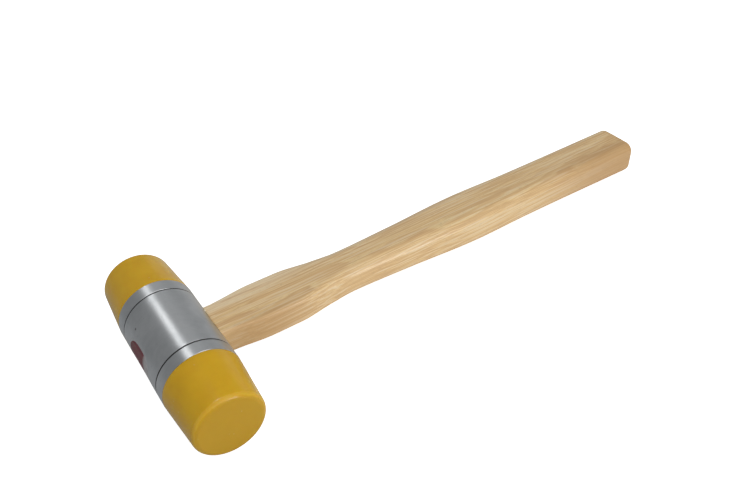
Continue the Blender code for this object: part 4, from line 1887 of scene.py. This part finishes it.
@dataclass
class EyeFittings:
    """The wedge in the tenon and the lacquer over it."""

    axes: MalletFrame
    eye: EyeShape
    wedge: WedgeShape
    dish: float = 0.14 * MM
    rim_drop: float = 0.02 * MM
    gap: float = 0.04 * MM
    middle_share: float = 0.6
    rings: int = 21
    ridge_height: float = 0.06 * MM
    ridge_place: float = 2.3 * MM
    ridge_width: float = 0.7 * MM
    arris_share: float = 0.25
    arris_steps: int = 3
    wedge_step: float = 1.0 * MM
    pieces: list = field(default_factory=list)

    def seal(self) -> bpy.types.Object:
        """Makes the lacquer plug, dished inside its rim, with ridges over the wedge's two sides.

        Returns:
            The plug in the mallet's axes.
        """
        radius = self.axes.head_radius
        angles = evenly_round(OVAL_POINTS)
        edge = self.eye.ring(-1, radius, -self.gap, angles, radius)
        rows = [[(-(radius - self.rim_drop - self.dish * self.middle_share), 0.0, 0.0)]]
        for t in np.linspace(0, 1, self.rings + 1)[1:]:
            row = []
            for x, y, z in edge:
                reach = math.sqrt(max(radius**2 - (z * t) ** 2, 0.0))
                sink = self.rim_drop + self.dish * (1 - t**4)
                away = (abs(z * t) - self.ridge_place) / self.ridge_width
                ridge = self.ridge_height * math.exp(-(away**2)) * (1 - t**6)
                row.append((-(reach - sink + ridge), y * t, z * t))
            rows.append(row)
        floor = -(radius - self.wedge.seal_depth) - self.eye.fit
        back = [(floor, y, z) for _, y, z in edge]
        rows.append(back)
        rows.append([(floor, 0.0, 0.0)])
        return Skin().grid(rows).finish("lacquer_seal")

    def driven_wedge(self) -> bpy.types.Object:
        """Makes the wedge, its arrises eased.

        Returns:
            The wedge in the mallet's axes.
        """
        depth = self.axes.head_radius - self.wedge.seal_depth
        length = self.eye.half_length - self.eye.fit
        width = self.eye.wide_half - self.eye.fit
        half = self.eye.reach(self.wedge.thick / 2, length, width) - self.wedge.side
        rows = []
        for x in finely(-depth, self.wedge.length - depth, self.wedge_step):
            thick = self.wedge.half_thickness(x + depth)
            soft = self.arris_share * thick
            ring = rounded_rectangle(half, thick, soft, self.arris_steps, 1)
            rows.append([(x, y, z) for y, z in ring])
        rows.insert(0, [(-depth, 0.0, 0.0)])
        rows.append([(self.wedge.length - depth, 0.0, 0.0)])
        return Skin().grid(rows).finish("sawn_wedge")

    def build(self) -> "EyeFittings":
        """Makes the seal and the wedge in place."""
        self.pieces = [self.seal(), self.driven_wedge()]
        for piece in self.pieces:
            self.axes.set_tilted(piece)
        return self

    def dress(self) -> None:
        """Gives both pieces their finish and body, and logs their slot."""
        seal, wedge = self.pieces
        lacquer = SealLacquer(tilt=self.axes.tilt).material()
        adopt(seal, "head_and_handle", "seal_lacquer", ["eye_seal"], lacquer)
        adopt(wedge, "head_and_handle", "wedge_wood", ["handle_wedge"], WedgeWood().material())


@dataclass
class ShotCharge:
    """The loose shot of one end, each ball where the frame has it."""

    end: End
    pieces: list = field(default_factory=list)

    def build(self) -> "ShotCharge":
        """Makes a smooth ball for each node of this end's charge."""
        data = None
        for node in sorted(name for name in frame["nodes"] if name.startswith(f"shot_{self.end.word}")):
            low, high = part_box(node)
            if data is None:
                work = bmesh.new()
                size = (high.z - low.z) / 2
                bmesh.ops.create_icosphere(work, subdivisions=4, radius=size)
                data = bpy.data.meshes.new(f"shot_ball_{self.end.word}")
                work.to_mesh(data)
                work.free()
                data.shade_smooth()
            ball = bpy.data.objects.new(node.replace("shot", "ball"), data)
            bpy.context.scene.collection.objects.link(ball)
            ball.location = (low + high) / 2
            self.pieces.append((ball, node))
        return self

    def dress(self) -> None:
        """Gives each ball its finish and body, and logs its slot."""
        for ball, node in self.pieces:
            adopt(ball, f"{self.end.word}_shot", "shot_steel", [node], ShotSteel().material())


# ---------------------------------------------------------------------------------------------
# Studio
# ---------------------------------------------------------------------------------------------


@dataclass(frozen=True)
class SoftLight:
    """One rectangular lamp aimed at the head."""

    name: str
    direction: Point
    distance: float
    size: Pair
    power: float

    def hang(self, target: Vector) -> bpy.types.Object:
        """Puts the lamp in the scene.

        Args:
            target: What it faces.

        Returns:
            The lamp.
        """
        data = bpy.data.lights.new(self.name, "AREA")
        data.shape = "RECTANGLE"
        data.size, data.size_y = self.size
        data.energy = self.power
        lamp = bpy.data.objects.new(self.name, data)
        out = Vector(self.direction).normalized()
        turn = out.to_track_quat("Z", "Y").to_matrix().to_4x4()
        lamp.matrix_world = Matrix.Translation(target + out * self.distance) @ turn
        bpy.context.scene.collection.objects.link(lamp)
        return lamp


@dataclass
class Studio:
    """Floor, lamps, surroundings and camera."""

    axes: MalletFrame
    floor_size: float = 6.0
    surround: Colour = (0.30, 0.305, 0.31)
    camera_from_head: Point = (-0.04947, -0.27495, 0.27515)
    sight: Point = (0.39104, 0.65337, -0.64823)
    camera_up: Point = (0.39705, 0.51565, 0.75925)
    lens: float = 37.142
    sensor: float = 36.0

    def lamps(self) -> list[SoftLight]:
        """The lamps: a soft box almost overhead, a low front lamp, two fills and a card.

        Returns:
            The lamps, not yet hung.
        """
        return [
            SoftLight("overhead_soft_box", (-0.05, 0.20, 0.96), 1.2, (0.28, 0.28), 2.6),
            SoftLight("low_front_lamp", (0.39, -0.90, 0.22), 1.1, (0.26, 0.26), 2.5),
            SoftLight("broad_front_fill", (0.10, -0.80, 0.50), 1.3, (0.90, 0.70), 2.4),
            SoftLight("broad_top_fill", (0.20, -0.60, 0.78), 1.4, (1.20, 1.00), 2.85),
            SoftLight("right_card", (0.75, 0.65, 0.14), 1.2, (0.90, 0.45), 0.36),
        ]

    def floor(self) -> bpy.types.Object:
        """Makes the floor that the mallet lies on.

        Returns:
            The floor, which isn't part of the model.
        """
        half = self.floor_size / 2
        corners = [[(-half, -half, 0.0), (half, -half, 0.0)], [(-half, half, 0.0), (half, half, 0.0)]]
        made = Skin().grid(corners, closed=False).finish("floor")
        made.data.materials.append(StudioFloor().material())
        if made.data.polygons[0].normal.z < 0:
            made.data.flip_normals()
        return made

    def camera(self) -> bpy.types.Object:
        """Places the camera from the head's centre.

        Returns:
            The camera, which the scene then uses.
        """
        data = bpy.data.cameras.new("camera")
        data.lens = self.lens
        data.sensor_width = self.sensor
        data.clip_start = 0.01
        made = bpy.data.objects.new("camera", data)
        back = -Vector(self.sight).normalized()
        up = Vector(self.camera_up)
        right = up.cross(back).normalized()
        up = back.cross(right)
        turn = Matrix((right, up, back)).transposed().to_4x4()
        made.matrix_world = Matrix.Translation(self.axes.centre + Vector(self.camera_from_head)) @ turn
        bpy.context.scene.collection.objects.link(made)
        bpy.context.scene.camera = made
        return made

    def build(self) -> "Studio":
        """Sets up the whole studio."""
        self.floor()
        for lamp in self.lamps():
            lamp.hang(self.axes.centre)
        world = bpy.data.worlds.new("studio")
        world.use_nodes = True
        background = world.node_tree.nodes["Background"]
        background.inputs["Color"].default_value = (*self.surround, 1.0)
        background.inputs["Strength"].default_value = 1.0
        bpy.context.scene.world = world
        bpy.context.scene.view_settings.view_transform = "Standard"
        bpy.context.scene.view_settings.look = "None"
        self.camera()
        return self


# ---------------------------------------------------------------------------------------------
# The order of work
# ---------------------------------------------------------------------------------------------


def main() -> None:
    """Builds and dresses the sub-assemblies in order, then the studio."""
    logging.basicConfig(level=logging.INFO, format="%(name)s: %(message)s")
    axes = MalletFrame.from_record(frame["record"])
    eye = EyeShape()
    wedge = WedgeShape()
    assemblies = [SteelHead(axes, eye), Handle(axes, eye, wedge), EyeFittings(axes, eye, wedge)]
    assemblies += [StrikingTip(axes, end) for end in End]
    assemblies += [ShotCharge(end) for end in End]
    for assembly in assemblies:
        assembly.build().dress()
    Studio(axes).build()


if __name__ == "__main__":
    main()
